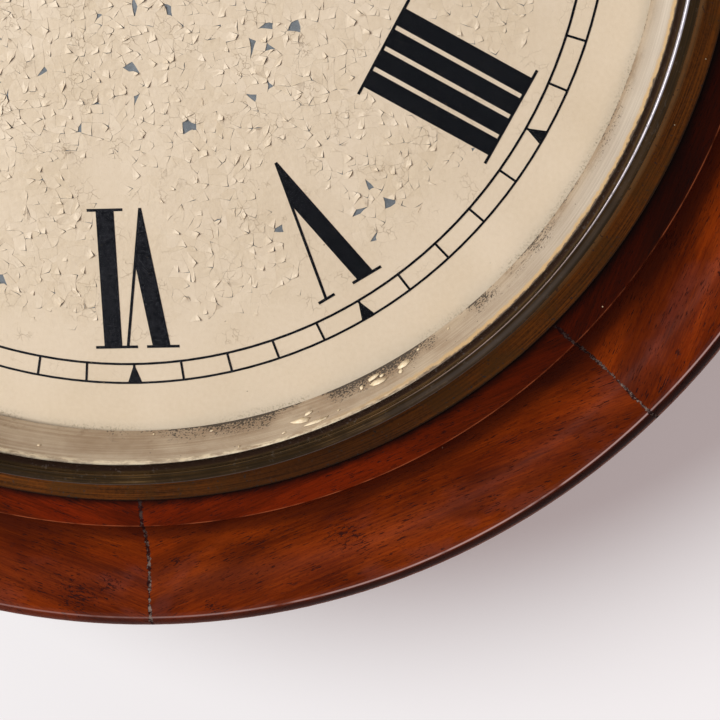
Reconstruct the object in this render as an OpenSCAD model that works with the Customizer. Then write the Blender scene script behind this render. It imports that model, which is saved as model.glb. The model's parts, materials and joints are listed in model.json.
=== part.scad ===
// Slave clock in a turned mahogany dial case.
// Millimetres. The origin is on the wall, behind the centre of the dial; +Z is up, +X is right.
// Pieces are drawn as seen from the front: x right, y up and z the distance from the wall.

/* [Dial] */
// Radius of the minute track's inner circle
track_r = 130; // [120:0.5:136]
// Width of the minute track between its two circles
track_w = 5.6; // [4:0.1:8]
// Bare dial between the minute track and the sight ring
dial_margin = 13.7; // [10:0.1:18]
// Part of the dial plate that the sight ring covers
dial_lap = 8.7; // [7:0.1:9]
// Thickness of the dial plate
dial_t = 1; // [0.6:0.1:1.6]
// Thickness of the paint
paint_t = 0.2; // [0.1:0.05:0.4]
// Thickness of the printing
print_t = 0.1; // [0.05:0.05:0.2]
// Gap between the numerals and the minute track
numeral_gap = 4.7; // [3:0.1:8]
// Height of the numerals
numeral_h = 40.5; // [30:0.5:50]
// Width of a numeral's thick stroke
thick_stroke = 5.1; // [3.5:0.1:5.6]
// Width of a numeral's thin stroke
thin_stroke = 0.8; // [0.5:0.1:1.4]
// Width of the lines of the minute track
line_w = 0.65; // [0.4:0.05:1]
// Hole in the dial for the hour pipe
dial_hole_r = 7; // [5.5:0.1:9]

/* [Bezel] */
// Radial width of the sight ring's slope
slip_run = 5; // [3:0.1:7]
// Height of the sight ring's foot over the dial
slip_foot = 2.2; // [1:0.1:4]
// Thickness of the sight ring
slip_t = 0.6; // [0.4:0.1:1]
// Height of the glass over the dial
glass_h = 16.4; // [15:0.1:18]
// Thickness of the glass
glass_t = 2.6; // [2:0.1:3.5]
// Width of the bezel's crown
crown_w = 5.5; // [4.8:0.1:7]
// Height of the bezel's shoulder over the lip's underside
shoulder_h = 2.1; // [1.6:0.1:3]
// Thickness of the bezel's outer wall
wall_t = 1.8; // [1.4:0.1:2.2]
// Width of the bezel's flange
flange_w = 8.4; // [7:0.1:11]
// Thickness of the bezel's flange
flange_t = 1.2; // [0.8:0.1:1.6]
// How far the bezel opens, in degrees
bezel_swing = 110; // [0:5:110]

/* [Surround] */
// Width of the flat band outside the flange
band_w = 8.5; // [7:0.1:11]
// Width of the hollow moulding
hollow_w = 29.9; // [26:0.1:36]
// Width of the rounded outer edge
edge_w = 4; // [3:0.1:5]
// Height of the band over the dial
ledge_h = 8; // [6:0.1:10]
// Height of the hollow's lowest line over the dial
hollow_h = 0.9; // [0.2:0.1:2]
// Thickness of the backing ring
ring_t = 8.8; // [7:0.1:11]
// Turn of the segment joints from the hour marks, in degrees
joint_turn = 0.25; // [-1:0.05:1]

/* [Box] */
// Width and height of the box
box_w = 284; // [276:1:288]
// Depth of the box
box_depth = 72; // [70:0.5:84]
// Thickness of the side boards
board_t = 10; // [9:0.5:12]
// Thickness of the back board
back_t = 10; // [8:0.5:12]
// Width of the door in the bottom board
door_w = 98; // [60:1:130]
// Gap around the door
door_gap = 1; // [0.6:0.1:1.5]
// Radius of the wire entry
wire_r = 4; // [2.5:0.1:5]
// Radius of the keyhole in the hanging plate
keyhole_r = 5; // [4:0.1:6]
// Distance of the keyhole over the dial's centre
keyhole_y = 158; // [154:0.5:164]
// Radius of the steady holes in the back board
steady_r = 2.5; // [1.5:0.1:3.5]
// Distance between the steady holes
steady_span = 200; // [160:1:220]

/* [Movement] */
// Width of the movement plates
plate_w = 104; // [98:1:110]
// Height of the movement plates over the centre
plate_top = 40; // [38:0.5:46]
// Depth of the movement plates below the centre
plate_bottom = 100; // [97:0.5:110]
// Distance between the movement plates
plate_gap = 28; // [26:0.5:30]
// Thickness of the front plate
front_plate_t = 2.5; // [2:0.1:3]
// Thickness of the rear plate
rear_plate_t = 2; // [1.5:0.1:2.5]
// Width of the movement bar
bar_w = 70; // [60:1:76]
// Thickness of the movement bar
bar_t = 4; // [3:0.1:5]
// Radius of the centre arbor
arbor_r = 1.5; // [1.2:0.05:1.8]
// Tip radius of the ratchet wheel
ratchet_r = 30; // [28:0.1:30]
// Radius of the coils
coil_r = 12; // [10:0.1:13]
// Length of the minute hand from the centre
minute_hand_l = 124; // [100:1:128]
// Length of the hour hand from the centre
hour_hand_l = 88; // [60:1:96]
// Minute that the hands show at rest
rest_minute = 10; // [0:1:59]
// Hour that the hands show at rest
rest_hour = 10; // [0:1:11]

/* [Hidden] */
$fn = 128;
eps = 0.01;

// Clearances
run_gap = 0.05;         // radial gap of a shaft that turns in a hole
flat_gap = 0.3;         // gap between faces of pieces that move past each other
dial_gap = 0.6;         // dial plate in its recess
bezel_gap = 0.1;        // flange over the ledge
ring_gap = 0.2;         // sight ring in the bezel
notch_gap = 0.2;        // movement bar in its notches

// Heights from the wall
seat_z = box_depth + ring_t;
dial_z = seat_z + dial_t + paint_t;
ledge_z = dial_z + ledge_h;
flange_z = ledge_z + bezel_gap;
flange_top = flange_z + flange_t;
glass_z = dial_z + glass_h;
lip_z = glass_z + glass_t;
shoulder_z = lip_z + shoulder_h;
bar_z = seat_z - bar_t;
post_l = 18.3;
front_top = bar_z - post_l;
front_z = front_top - front_plate_t;
rear_top = front_z - plate_gap;
rear_z = rear_top - rear_plate_t;

// Radii on the dial, the bezel and the surround
track_out_r = track_r + track_w;
sight_r = track_out_r + dial_margin;
dial_r = sight_r + dial_lap;
recess_r = dial_r + dial_gap;
lip_r = sight_r + slip_run;
wall_r = lip_r + crown_w;
flange_r = wall_r + flange_w;
band_r = flange_r + band_w;
arris_r = band_r + hollow_w;
rim_r = arris_r + edge_w;
glass_r = lip_r + 1.9;
rebate_r = glass_r + ring_gap;
cavity_r = wall_r - wall_t;
slip_flange_r = cavity_r - ring_gap;

// Backing ring
ring_in_r = box_w / 2 - board_t - 2;
ring_out_r = band_r + 3.3;
glue_gap = 0.3;
segments = 8;
segment_angle = 360 / segments;
segment_screw_r = (recess_r + ring_out_r) / 2 + 1.7;
segment_screw_turn = 11;

// Moulding: a quirk inside, a hollow, and a swell out to the arris
band_drop = 0.4;
quirk_w = 0.6;
quirk_h = 2;
hollow_low_z = dial_z + hollow_h;
hollow_low_r = band_r + 0.41 * hollow_w;
quirk_z = ledge_z - band_drop - quirk_h;
hollow_run = hollow_low_r - band_r - quirk_w;
hollow_fall = quirk_z - hollow_low_z;
hollow_arc_r = (pow(hollow_run, 2) + pow(hollow_fall, 2)) / (2 * hollow_fall);
hollow_start = asin(hollow_run / hollow_arc_r);
hollow_end = 21;
swell_run = arris_r - hollow_low_r - hollow_arc_r * sin(hollow_end);
swell_arc_r = swell_run / sin(hollow_end);
arris_z = hollow_low_z + (hollow_arc_r + swell_arc_r) * (1 - cos(hollow_end));
edge_h = 5.3;
edge_bulge = 0.7;

// Screws
wood_screw_r = 1.8;
wood_head_r = 3.6;
wood_head_h = 2;
wood_screw_l = 24;
short_screw_l = 15;
brass_screw_r = 1.1;
brass_head_r = 2.1;
brass_head_h = 1;
brass_screw_l = 7.5;
slot_w = 0.7;
slot_depth = 0.5;
dial_screw_r = lip_r - 0.5;
dial_screw_turns = [20, 110, 200, 290];

// Box
box_in = box_w / 2 - board_t;
board_mid = box_w / 2 - board_t / 2;
case_screw_at = 104;
door_z0 = back_t + 8;
door_z1 = box_depth - 8;
door_wall = 8.5;
door_inset = 0.5;
pivot_r = 1.5;
pivot_l = 12;
pivot_y = -box_w / 2 + 2.7;
pivot_z = door_z0 + 4.3;
hang_w = 40;
hang_t = 2.5;
hang_low = 112;
hang_top = keyhole_y + 12;
hang_screw_x = 13;
slot_r = 2.5;
slot_rise = 7;
steady_y = -110;
wire_x = 90;
wire_y = -60;
wire_wall = 3;
bush_flange = 3;
bush_flange_t = 2;
bush_l = 14;

// Bezel hinge at 9 o'clock and the catches
knuckle_r = 2.1;
hinge_pin_r = 0.9;
hinge_x = -flange_r - knuckle_r - 1;
hinge_z = flange_top + 1.1;
hinge_half = 13;
leaf_half = 5;
leaf_gap = 0.2;
leaf_t = 1.2;
leaf_in_x = -wall_r - 1.2;
hinge_screw_y = 9;
clip_count = 6;
clip_angle = 4;
clip_h = 1.6;
catch_turn = 84;
catch_at_r = flange_r + 4.4;
catch_l = 11;
catch_w = 5;
catch_t = 1.8;
catch_shank_r = 1.5;
catch_head_r = 2.8;
catch_head_t = 1.2;
catch_depth = 8;
catch_z = flange_top + flat_gap;
spot_r = catch_head_r;
spot_z = ledge_z - 1;
door_catch_z = box_depth - 4;

// Electromagnet
pole_x = 16;
coil_z = rear_top + plate_gap / 2;
core_r = 5;
core_top = -48.7;
core_bottom = -88;
bobbin_wall = 1;
bobbin_flange = 1.5;
winding_r = coil_r - 0.6;
yoke_half = 30;
yoke_t = 6;
yoke_depth = 16;
pillar_r = 3;
pillar_x = plate_w / 2 - 5;
pillar_top_y = plate_top - 5;
pillar_low_y = -plate_bottom + 8;
spigot_r = 1.8;
post_r = 4;
post_x = plate_w / 2 - 7;
post_y = bar_w / 2 - 11;

// Armature, pawl and click
armature_x = 40;
armature_y = -43;
armature_pin_r = 1.2;
armature_low = -45.5;
armature_high = -39.5;
armature_left = -46;
armature_right = 46;
armature_z0 = coil_z - 6;
armature_z1 = coil_z + 6;
armature_step = coil_z + 0.8;
wheel_z = coil_z + 2;
wheel_t = 1.6;
pawl_z = wheel_z - 0.7;
pawl_t = 3;
pawl_x = -40;
pawl_y = -42.5;
stud_r = 1.5;
stud_head_r = 2.6;
stud_head_t = 0.8;
boss_r = 3.2;
click_x = 37;
click_y = 33;
tooth_gap = 0.3;
spring_t = 0.6;
spring_gap = 0.5;

// Train
ratchet_teeth = 120;
ratchet_depth = 1.4;
motion_distance = 16;
motion_angle = 35;
cannon_teeth = 20;
minute_teeth = 60;
minute_leaves = 15;
hour_teeth = 60;
cannon_module = 2 * motion_distance / (cannon_teeth + minute_teeth);
hour_module = 2 * motion_distance / (minute_leaves + hour_teeth);
cannon_r = 2.6;
hour_pipe_r = 4.2;
cannon_z = front_top + 2;
cannon_gear_z = front_top + 3;
cannon_gear_t = 3.5;
hour_wheel_z = front_top + 8.3;
hour_wheel_t = 2;
minute_wheel_z = front_top + 4;
minute_wheel_t = 1.5;
minute_boss_z = front_top + 1.5;
minute_leaf_top = front_top + 12;
hour_hand_z = dial_z + 4.5;
hour_hand_t = 1.2;
minute_hand_z = dial_z + 8.5;
minute_hand_t = 1;
nut_t = 2.5;
nut_r = 3.4;
minute_angle = 6 * rest_minute;
hour_angle = 30 * rest_hour + rest_minute / 2;

// Terminals
block_x = 90;
block_y = -20;
block_w = 40;
block_h = 18;
block_t = 12;
lug_w = 10;
lug_t = 3;
terminal_span = 24;
terminal_r = 2;
terminal_top = 24;
nut_flat_r = 4;
nut_h = 2.5;
lead_r = 0.7;
bend_lap = 0.5;
lead_foot = winding_r + bend_lap + 0.01;
hair = 0.04;

wood = [0.42, 0.13, 0.05];
pine = [0.62, 0.44, 0.26];
brass = [0.55, 0.42, 0.2];
dark_brass = [0.2, 0.15, 0.08];
steel = [0.55, 0.56, 0.58];
iron = [0.3, 0.3, 0.32];
blued = [0.08, 0.09, 0.14];
cream = [0.85, 0.79, 0.68];

// Draws its children as seen from the front
module front() {
    rotate([90, 0, 0])
        children();
}

// Turns its children clockwise from 12 o'clock
module clock(angle) {
    rotate([0, 0, -angle])
        children();
}

module tube(r_out, r_in, h) {
    difference() {
        cylinder(r = r_out, h = h);
        translate([0, 0, -1])
            cylinder(r = r_in, h = h + 2);
    }
}

// A countersunk screw, its head's face at z = 0 and its shank below
module screw_body(r, head_r, head_h, l) {
    rotate_extrude()
        polygon([[0, -l], [r * 0.4, -l], [r, -l + 1.5 * r], [r, -head_h], [head_r, 0], [0, 0]]);
}

module screw(r, head_r, head_h, l) {
    difference() {
        screw_body(r, head_r, head_h, l);
        translate([-head_r, -slot_w / 2, -slot_depth])
            cube([2 * head_r, slot_w, 1]);
    }
}

module wood_screw(l) screw(wood_screw_r, wood_head_r, wood_head_h, l);
module wood_screw_hole(l) screw_body(wood_screw_r, wood_head_r, wood_head_h, l);
module brass_screw() screw(brass_screw_r, brass_head_r, brass_head_h, brass_screw_l);
module brass_screw_hole() screw_body(brass_screw_r, brass_head_r, brass_head_h, brass_screw_l);

// The places of each kind of screw
module at_dial_screws() {
    for (turn = dial_screw_turns)
        clock(turn)
            translate([0, dial_screw_r, dial_z])
                children();
}

module at_hinge_screws() {
    for (side = [-1, 1])
        translate([(leaf_in_x - flange_r) / 2, side * hinge_screw_y, ledge_z])
            children();
}

module at_block_screws() {
    for (side = [-1, 1])
        translate([block_x + side * (block_w + lug_w) / 2, block_y, back_t + lug_t])
            children();
}

module at_segment_screws() {
    for (i = [0:segments - 1], side = [-1, 1])
        clock((i + 0.5) * segment_angle - joint_turn + side * segment_screw_turn)
            translate([0, segment_screw_r, box_depth])
                rotate([180, 0, 0])
                    children();
}

module at_bar_screws() {
    for (x = [-1, 1], y = [-1, 1])
        translate([x * board_mid, y * post_y, seat_z])
            children();
}

module at_case_screws() {
    for (side = [-1, 1], end = [-1, 1]) {
        translate([side * board_mid, end * case_screw_at, 0])
            rotate([180, 0, 0])
                children();
        translate([end * case_screw_at, side * board_mid, 0])
            rotate([180, 0, 0])
                children();
        if (side == 1)
            translate([end * hang_screw_x, board_mid, 0])
                rotate([180, 0, 0])
                    children();
    }
}

module at_pillars() {
    for (side = [-1, 1], y = [pillar_top_y, pillar_low_y])
        translate([side * pillar_x, y, 0])
            children();
}

module at_posts() {
    for (side = [-1, 1], end = [-1, 1])
        translate([side * post_x, end * post_y, 0])
            children();
}

// Surround

function surround_profile() = concat(
    [[recess_r, seat_z], [ring_out_r + glue_gap, seat_z], [ring_out_r + glue_gap, box_depth],
     [rim_r, box_depth]],
    [for (i = [0:6]) let (t = i / 6, bow = 4 * edge_bulge * t * (1 - t))
        [rim_r + (arris_r - rim_r) * t + 0.8 * bow,
         arris_z - edge_h + edge_h * t + 0.6 * bow]],
    [for (i = [0:7]) let (a = hollow_end * i / 8)
        [arris_r - 0.3 - (swell_arc_r - 1) * sin(a), arris_z + 0.3 - swell_arc_r * (1 - cos(a))]],
    [for (i = [0:16]) let (a = hollow_end - (hollow_end + hollow_start) * i / 16)
        [hollow_low_r + hollow_arc_r * sin(a), hollow_low_z + hollow_arc_r * (1 - cos(a))]],
    [[band_r + 0.15, ledge_z - band_drop - 0.3], [band_r - 0.3, ledge_z - band_drop],
     [flange_r - 1, ledge_z], [recess_r, ledge_z]]
);

module surround_segment(i) {
    color(wood)
        front()
            difference() {
                clock(i * segment_angle - joint_turn)
                    rotate([0, 0, 90])
                        rotate_extrude(angle = segment_angle)
                            polygon(surround_profile());
                hinge_pocket();
                at_hinge_screws()
                    brass_screw_hole();
                at_segment_screws()
                    wood_screw_hole(short_screw_l);
                at_bezel_catch() {
                    translate([0, 0, spot_z])
                        cylinder(r = spot_r, h = 10);
                    translate([0, 0, spot_z - catch_depth])
                        cylinder(r = catch_shank_r, h = catch_depth + 1);
                }
            }
}

module hinge_pocket() {
    translate([hinge_x - knuckle_r, -hinge_half, ledge_z - leaf_t])
        cube([leaf_in_x - hinge_x + knuckle_r, 2 * hinge_half, 10]);
}

module backing_ring() {
    color(pine)
        front()
            difference() {
                translate([0, 0, box_depth])
                    tube(ring_out_r, ring_in_r, ring_t);
                translate([-bar_half() - notch_gap, -bar_w / 2 - notch_gap, bar_z])
                    cube([2 * bar_half() + 2 * notch_gap, bar_w + 2 * notch_gap, bar_t + 1]);
                at_segment_screws()
                    wood_screw_hole(short_screw_l);
                at_dial_screws()
                    brass_screw_hole();
                at_bar_screws()
                    wood_screw_hole(wood_screw_l);
            }
}

module segment_screws() {
    color(steel)
        front()
            at_segment_screws()
                wood_screw(short_screw_l);
}

// Dial

module dial_plate() {
    color(steel)
        front()
            difference() {
                translate([0, 0, seat_z])
                    tube(dial_r, dial_hole_r, dial_t);
                at_dial_screws()
                    brass_screw_hole();
            }
}

module dial_paint() {
    color(cream)
        front()
            difference() {
                translate([0, 0, seat_z + dial_t])
                    tube(dial_r, dial_hole_r, paint_t);
                at_dial_screws()
                    brass_screw_hole();
            }
}

numeral_out = track_r - numeral_gap;
numeral_in = numeral_out - numeral_h;
bar_gap = 1.2;
serif_over = 2.5;
serif_t = thin_stroke;
wide_v = 16.2;
narrow_v = 12.8;
x_w = 14.5;

// Width of each letter of a numeral, where a lone V is wider
function letter_w(letters, i) =
    letters[i] == "I" ? thick_stroke :
    letters[i] == "X" ? x_w :
    len(letters) == 1 ? wide_v : narrow_v;

function start_of(letters, i) = i == 0 ? 0 : start_of(letters, i - 1) + letter_w(letters, i - 1) + bar_gap;

module serif(x0, x1, y) {
    translate([x0, y])
        square([x1 - x0, serif_t]);
}

module letter_i(x) {
    translate([x, numeral_in])
        square([thick_stroke, numeral_h]);
    serif(x - serif_over, x + thick_stroke + serif_over, numeral_in);
    serif(x - serif_over, x + thick_stroke + serif_over, numeral_out - serif_t);
}

// A slanting stroke of one width across
module slant(x_out, x_in, w) {
    polygon([[x_out, numeral_out], [x_out + w, numeral_out], [x_in + w, numeral_in], [x_in, numeral_in]]);
}

module letter_v(x, w) {
    tip = x + (w == wide_v ? 0.42 : 0.48) * w;
    intersection() {
        slant(x, tip, thick_stroke);
        polygon([[x - 1, numeral_out + 1], [x + w, numeral_out + 1], [x + w, numeral_out],
                 [tip + thin_stroke, numeral_in], [x - 1, numeral_in - 1]]);
    }
    slant(x + w - thin_stroke, tip, thin_stroke);
    serif(x - serif_over, x + thick_stroke + 0.7 * serif_over, numeral_out - serif_t);
    serif(x + w - thin_stroke - serif_over, x + w + 0.8 * serif_over, numeral_out - serif_t);
}

module letter_x(x) {
    slant(x, x + x_w - thick_stroke, thick_stroke);
    slant(x + x_w - thin_stroke, x, thin_stroke);
    for (y = [numeral_in, numeral_out - serif_t]) {
        serif(x - serif_over, x + thick_stroke + serif_over * 0.7, y);
        serif(x + x_w - thick_stroke - serif_over * 0.3, x + x_w + serif_over * 0.8, y);
    }
}

// Numerals stand a little to one side of their marks, as the dial was printed
module numeral(letters, aside) {
    last = len(letters) - 1;
    width = start_of(letters, last) + letter_w(letters, last);
    translate([-width / 2 - aside, 0])
        for (i = [0:last]) {
            if (letters[i] == "I")
                letter_i(start_of(letters, i));
            if (letters[i] == "V")
                letter_v(start_of(letters, i), letter_w(letters, i));
            if (letters[i] == "X")
                letter_x(start_of(letters, i));
        }
}

module circle_line(r) {
    difference() {
        circle(r = r + line_w / 2);
        circle(r = r - line_w / 2);
    }
}

numerals = ["I", "II", "III", "IIII", "V", "VI", "VII", "VIII", "IX", "X", "XI", "XII"];
numeral_aside = [0.5, 0.5, 0.5, 0.6, 0.1, 1.4, 1, 0.5, 0.5, 0.5, 0.5, 0.5];
triangle_half = 2.1;

module dial_printing() {
    color(blued)
        front()
            translate([0, 0, dial_z]) {
                linear_extrude(print_t) {
                    circle_line(track_r);
                    circle_line(track_out_r);
                    for (m = [0:59])
                        clock(6 * m)
                            translate([-line_w / 2, track_r])
                                square([line_w, track_w]);
                    for (h = [0:11])
                        clock(30 * h)
                            polygon([[-triangle_half, track_out_r], [triangle_half, track_out_r], [0, track_r]]);
                }
                for (h = [1:12])
                    linear_extrude(print_t)
                        clock(30 * h)
                            numeral(numerals[h - 1], numeral_aside[h - 1]);
            }
}

module brass_screws() {
    color(brass)
        front() {
            at_dial_screws()
                brass_screw();
            at_hinge_screws()
                brass_screw();
            at_block_screws()
                brass_screw();
        }
}

// Bezel, glass and sight ring

function bezel_profile() = [
    [cavity_r, flange_z], [flange_r - 0.3, flange_z], [flange_r, flange_z + 0.3],
    [flange_r, flange_top - 0.3], [flange_r - 0.3, flange_top], [wall_r + 0.7, flange_top],
    [wall_r + 0.2, flange_top + 0.3], [wall_r, flange_top + 0.9], [wall_r, shoulder_z - 0.3],
    [wall_r - 0.3, shoulder_z],
    [wall_r - 0.8, shoulder_z + 0.05], [wall_r - 1.8, shoulder_z + 0.35], [lip_r + 2.9, shoulder_z + 0.45],
    [lip_r + 2.6, shoulder_z + 0.6], [lip_r + 2.2, shoulder_z + 0.65], [lip_r + 1.8, shoulder_z + 0.5],
    [lip_r + 1.6, shoulder_z + 0.1], [lip_r + 0.5, lip_z + 1.1], [lip_r + 0.1, lip_z + 0.6],
    [lip_r, lip_z], [rebate_r, lip_z], [rebate_r, glass_z], [cavity_r, glass_z]
];

module bezel_ring() {
    color(dark_brass)
        front()
            rotate_extrude()
                polygon(bezel_profile());
}

module glass() {
    color([0.8, 0.9, 0.9, 0.3])
        front()
            translate([0, 0, glass_z])
                cylinder(r = glass_r, h = glass_t);
}

module sight_ring() {
    foot_z = dial_z + slip_foot;
    color([0.7, 0.68, 0.62])
        front()
            rotate_extrude()
                polygon([
                    [sight_r, foot_z], [sight_r + slip_t, foot_z - 0.2], [lip_r + slip_t + 0.3, glass_z - slip_t],
                    [slip_flange_r, glass_z - slip_t], [slip_flange_r, glass_z], [lip_r + 0.4, glass_z]
                ]);
}

module glass_clips() {
    clip_z = glass_z - slip_t - clip_h;
    color(brass)
        front()
            for (i = [0:clip_count - 1])
                clock((i + 0.5) * 360 / clip_count)
                    rotate([0, 0, 90 - clip_angle / 2])
                        rotate_extrude(angle = clip_angle)
                            polygon([
                                [lip_r + slip_t + 1.2, clip_z + clip_h], [cavity_r, clip_z + clip_h],
                                [cavity_r, clip_z], [cavity_r - 1, clip_z]
                            ]);
}

module hinge_moving_leaf() {
    color(dark_brass)
        front()
            difference() {
                union() {
                    translate([hinge_x, leaf_half, hinge_z])
                        rotate([90, 0, 0])
                            cylinder(r = knuckle_r, h = 2 * leaf_half);
                    translate([hinge_x, -leaf_half, flange_top])
                        cube([-hinge_x + leaf_in_x, 2 * leaf_half, leaf_t]);
                }
                translate([hinge_x, leaf_half + 1, hinge_z])
                    rotate([90, 0, 0])
                        cylinder(r = hinge_pin_r + run_gap, h = 2 * leaf_half + 2);
            }
}

module hinge_fixed_leaf() {
    knuckle_l = hinge_half - leaf_half - leaf_gap;
    color(dark_brass)
        front()
            difference() {
                union() {
                    translate([hinge_x - knuckle_r, -hinge_half, ledge_z - leaf_t])
                        cube([leaf_in_x - hinge_x + knuckle_r, 2 * hinge_half, leaf_t]);
                    for (y = [-hinge_half, leaf_half + leaf_gap]) {
                        translate([hinge_x, y + knuckle_l, hinge_z])
                            rotate([90, 0, 0])
                                cylinder(r = knuckle_r, h = knuckle_l);
                        translate([hinge_x - knuckle_r, y, ledge_z - leaf_t])
                            cube([knuckle_r + 0.7, knuckle_l, hinge_z - ledge_z + leaf_t]);
                    }
                }
                translate([hinge_x, hinge_half + 1, hinge_z])
                    rotate([90, 0, 0])
                        cylinder(r = hinge_pin_r, h = 2 * hinge_half + 2);
                at_hinge_screws()
                    brass_screw_hole();
            }
}

module hinge_pin() {
    color(steel)
        front()
            translate([hinge_x, hinge_half + 0.8, hinge_z])
                rotate([90, 0, 0]) {
                    cylinder(r = hinge_pin_r, h = 2 * hinge_half + 0.8);
                    cylinder(r = hinge_pin_r + 0.5, h = 0.8);
                }
}

// Catches

module at_bezel_catch() {
    clock(catch_turn)
        translate([0, catch_at_r, 0])
            children();
}

// The door's catch turns under the bottom board, so its z points down
module at_door_catch() {
    translate([0, -box_w / 2, door_catch_z])
        rotate([90, 0, 0])
            children();
}

// A turn-button lying along x, with its bore at the origin and its finger towards +x
module turn_button(length, width, thickness) {
    difference() {
        union() {
            cylinder(r = width / 2, h = thickness);
            translate([0, -width / 2, 0])
                cube([length - width / 2, width, thickness]);
            translate([length - width / 2, 0, 0])
                cylinder(r = width / 2, h = thickness);
        }
        translate([0, 0, -1])
            cylinder(r = catch_shank_r + run_gap, h = thickness + 2);
    }
}

module bezel_catch() {
    color(brass)
        front()
            at_bezel_catch()
                translate([0, 0, catch_z])
                    turn_button(catch_l, catch_w, catch_t);
}

module door_catch() {
    color(brass)
        front()
            at_door_catch()
                translate([0, 0, flat_gap])
                    turn_button(catch_l, catch_w, catch_t);
}

module catch_screw(low, high) {
    translate([0, 0, low])
        cylinder(r = catch_shank_r, h = high - low + eps);
    translate([0, 0, high])
        difference() {
            cylinder(r = catch_head_r, h = catch_head_t);
            translate([-catch_head_r - 1, -slot_w / 2, catch_head_t - slot_depth])
                cube([2 * catch_head_r + 2, slot_w, 1]);
        }
}

module catch_screws() {
    color(brass)
        front() {
            at_bezel_catch() {
                catch_screw(spot_z - catch_depth, catch_z + catch_t + flat_gap);
                translate([0, 0, spot_z])
                    cylinder(r = spot_r, h = flange_top - spot_z);
            }
            at_door_catch()
                catch_screw(-catch_depth, 2 * flat_gap + catch_t);
        }
}

// Box

module back_board() {
    color(pine)
        front()
            difference() {
                translate([-box_w / 2, -box_w / 2, 0])
                    cube([box_w, box_w, back_t]);
                translate([-hang_w / 2, hang_low, -1])
                    cube([hang_w, box_w, hang_t + 1]);
                at_case_screws()
                    wood_screw_hole(wood_screw_l);
                for (side = [-1, 1])
                    translate([side * steady_span / 2, steady_y, -1])
                        cylinder(r = steady_r, h = back_t + 2);
                translate([wire_x, wire_y, -1])
                    cylinder(r = wire_r + wire_wall, h = back_t + 2);
                at_block_screws()
                    brass_screw_hole();
            }
}

module box_side(side) {
    color(pine)
        front()
            difference() {
                translate([side > 0 ? box_in : -box_w / 2, -box_w / 2, back_t])
                    cube([board_t, box_w, box_depth - back_t]);
                at_case_screws()
                    wood_screw_hole(wood_screw_l);
                at_bar_screws()
                    wood_screw_hole(wood_screw_l);
            }
}

module box_top() {
    color(pine)
        front()
            difference() {
                translate([-box_in, box_in, back_t])
                    cube([2 * box_in, board_t, box_depth - back_t]);
                at_case_screws()
                    wood_screw_hole(wood_screw_l);
            }
}

module box_bottom() {
    color(pine)
        front()
            difference() {
                translate([-box_in, -box_w / 2, back_t])
                    cube([2 * box_in, board_t, box_depth - back_t]);
                translate([-door_w / 2 - door_gap, -box_w / 2 - 1, door_z0])
                    cube([door_w + 2 * door_gap, board_t + 2, door_z1 - door_z0]);
                at_case_screws()
                    wood_screw_hole(wood_screw_l);
                at_door_pivots()
                    cylinder(r = pivot_r, h = pivot_l);
                at_door_catch()
                    translate([0, 0, -catch_depth])
                        cylinder(r = catch_shank_r, h = catch_depth + 1);
            }
}

// The door's pivot pins, half in the door and half in the board
module at_door_pivots() {
    for (side = [-1, 1])
        translate([side * (door_w - pivot_l) / 2, pivot_y, pivot_z])
            rotate([0, side * 90, 0])
                children();
}

module door_pivots() {
    color(steel)
        front()
            at_door_pivots()
                cylinder(r = pivot_r, h = pivot_l);
}

module case_door() {
    color(pine)
        front()
            difference() {
                translate([-door_w / 2, -box_w / 2 + door_inset, door_z0 + door_gap])
                    cube([door_w, door_wall, door_z1 - door_z0 - 2 * door_gap]);
                at_door_pivots()
                    translate([0, 0, -1])
                        cylinder(r = pivot_r + run_gap, h = pivot_l + 1);
            }
}

module case_screws() {
    color(steel)
        front()
            at_case_screws()
                wood_screw(wood_screw_l);
}

module hanging_plate() {
    color(brass)
        front()
            difference() {
                union() {
                    translate([-hang_w / 2, hang_low, 0])
                        cube([hang_w, keyhole_y - hang_low, hang_t]);
                    translate([0, keyhole_y, 0])
                        cylinder(r = hang_top - keyhole_y, h = hang_t);
                }
                translate([0, keyhole_y, -1])
                    cylinder(r = keyhole_r, h = hang_t + 2);
                translate([-slot_r, keyhole_y, -1])
                    cube([2 * slot_r, slot_rise, hang_t + 2]);
                translate([0, keyhole_y + slot_rise, -1])
                    cylinder(r = slot_r, h = hang_t + 2);
                at_case_screws()
                    wood_screw_hole(wood_screw_l);
            }
}

module wire_bush() {
    color([0.1, 0.09, 0.08])
        front()
            translate([wire_x, wire_y, 0])
                difference() {
                    union() {
                        cylinder(r = wire_r + wire_wall, h = bush_l);
                        translate([0, 0, back_t])
                            cylinder(r = wire_r + wire_wall + bush_flange, h = bush_flange_t);
                    }
                    translate([0, 0, -1])
                        cylinder(r = wire_r, h = bush_l + 2);
                }
}

// Movement bar and plates

function bar_half() = box_w / 2 + 6;

module movement_bar() {
    color(steel)
        front()
            difference() {
                translate([-bar_half(), -bar_w / 2, bar_z])
                    cube([2 * bar_half(), bar_w, bar_t]);
                translate([0, 0, bar_z - 1])
                    cylinder(r = dial_hole_r, h = bar_t + 2);
                at_bar_screws()
                    wood_screw_hole(wood_screw_l);
                at_posts()
                    translate([0, 0, bar_z - 1])
                        cylinder(r = spigot_r, h = bar_t + 2);
            }
}

module bar_screws() {
    color(steel)
        front()
            at_bar_screws()
                wood_screw(wood_screw_l);
}

module plate(z, t) {
    translate([-plate_w / 2, -plate_bottom, z])
        cube([plate_w, plate_bottom + plate_top, t]);
}

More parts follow.
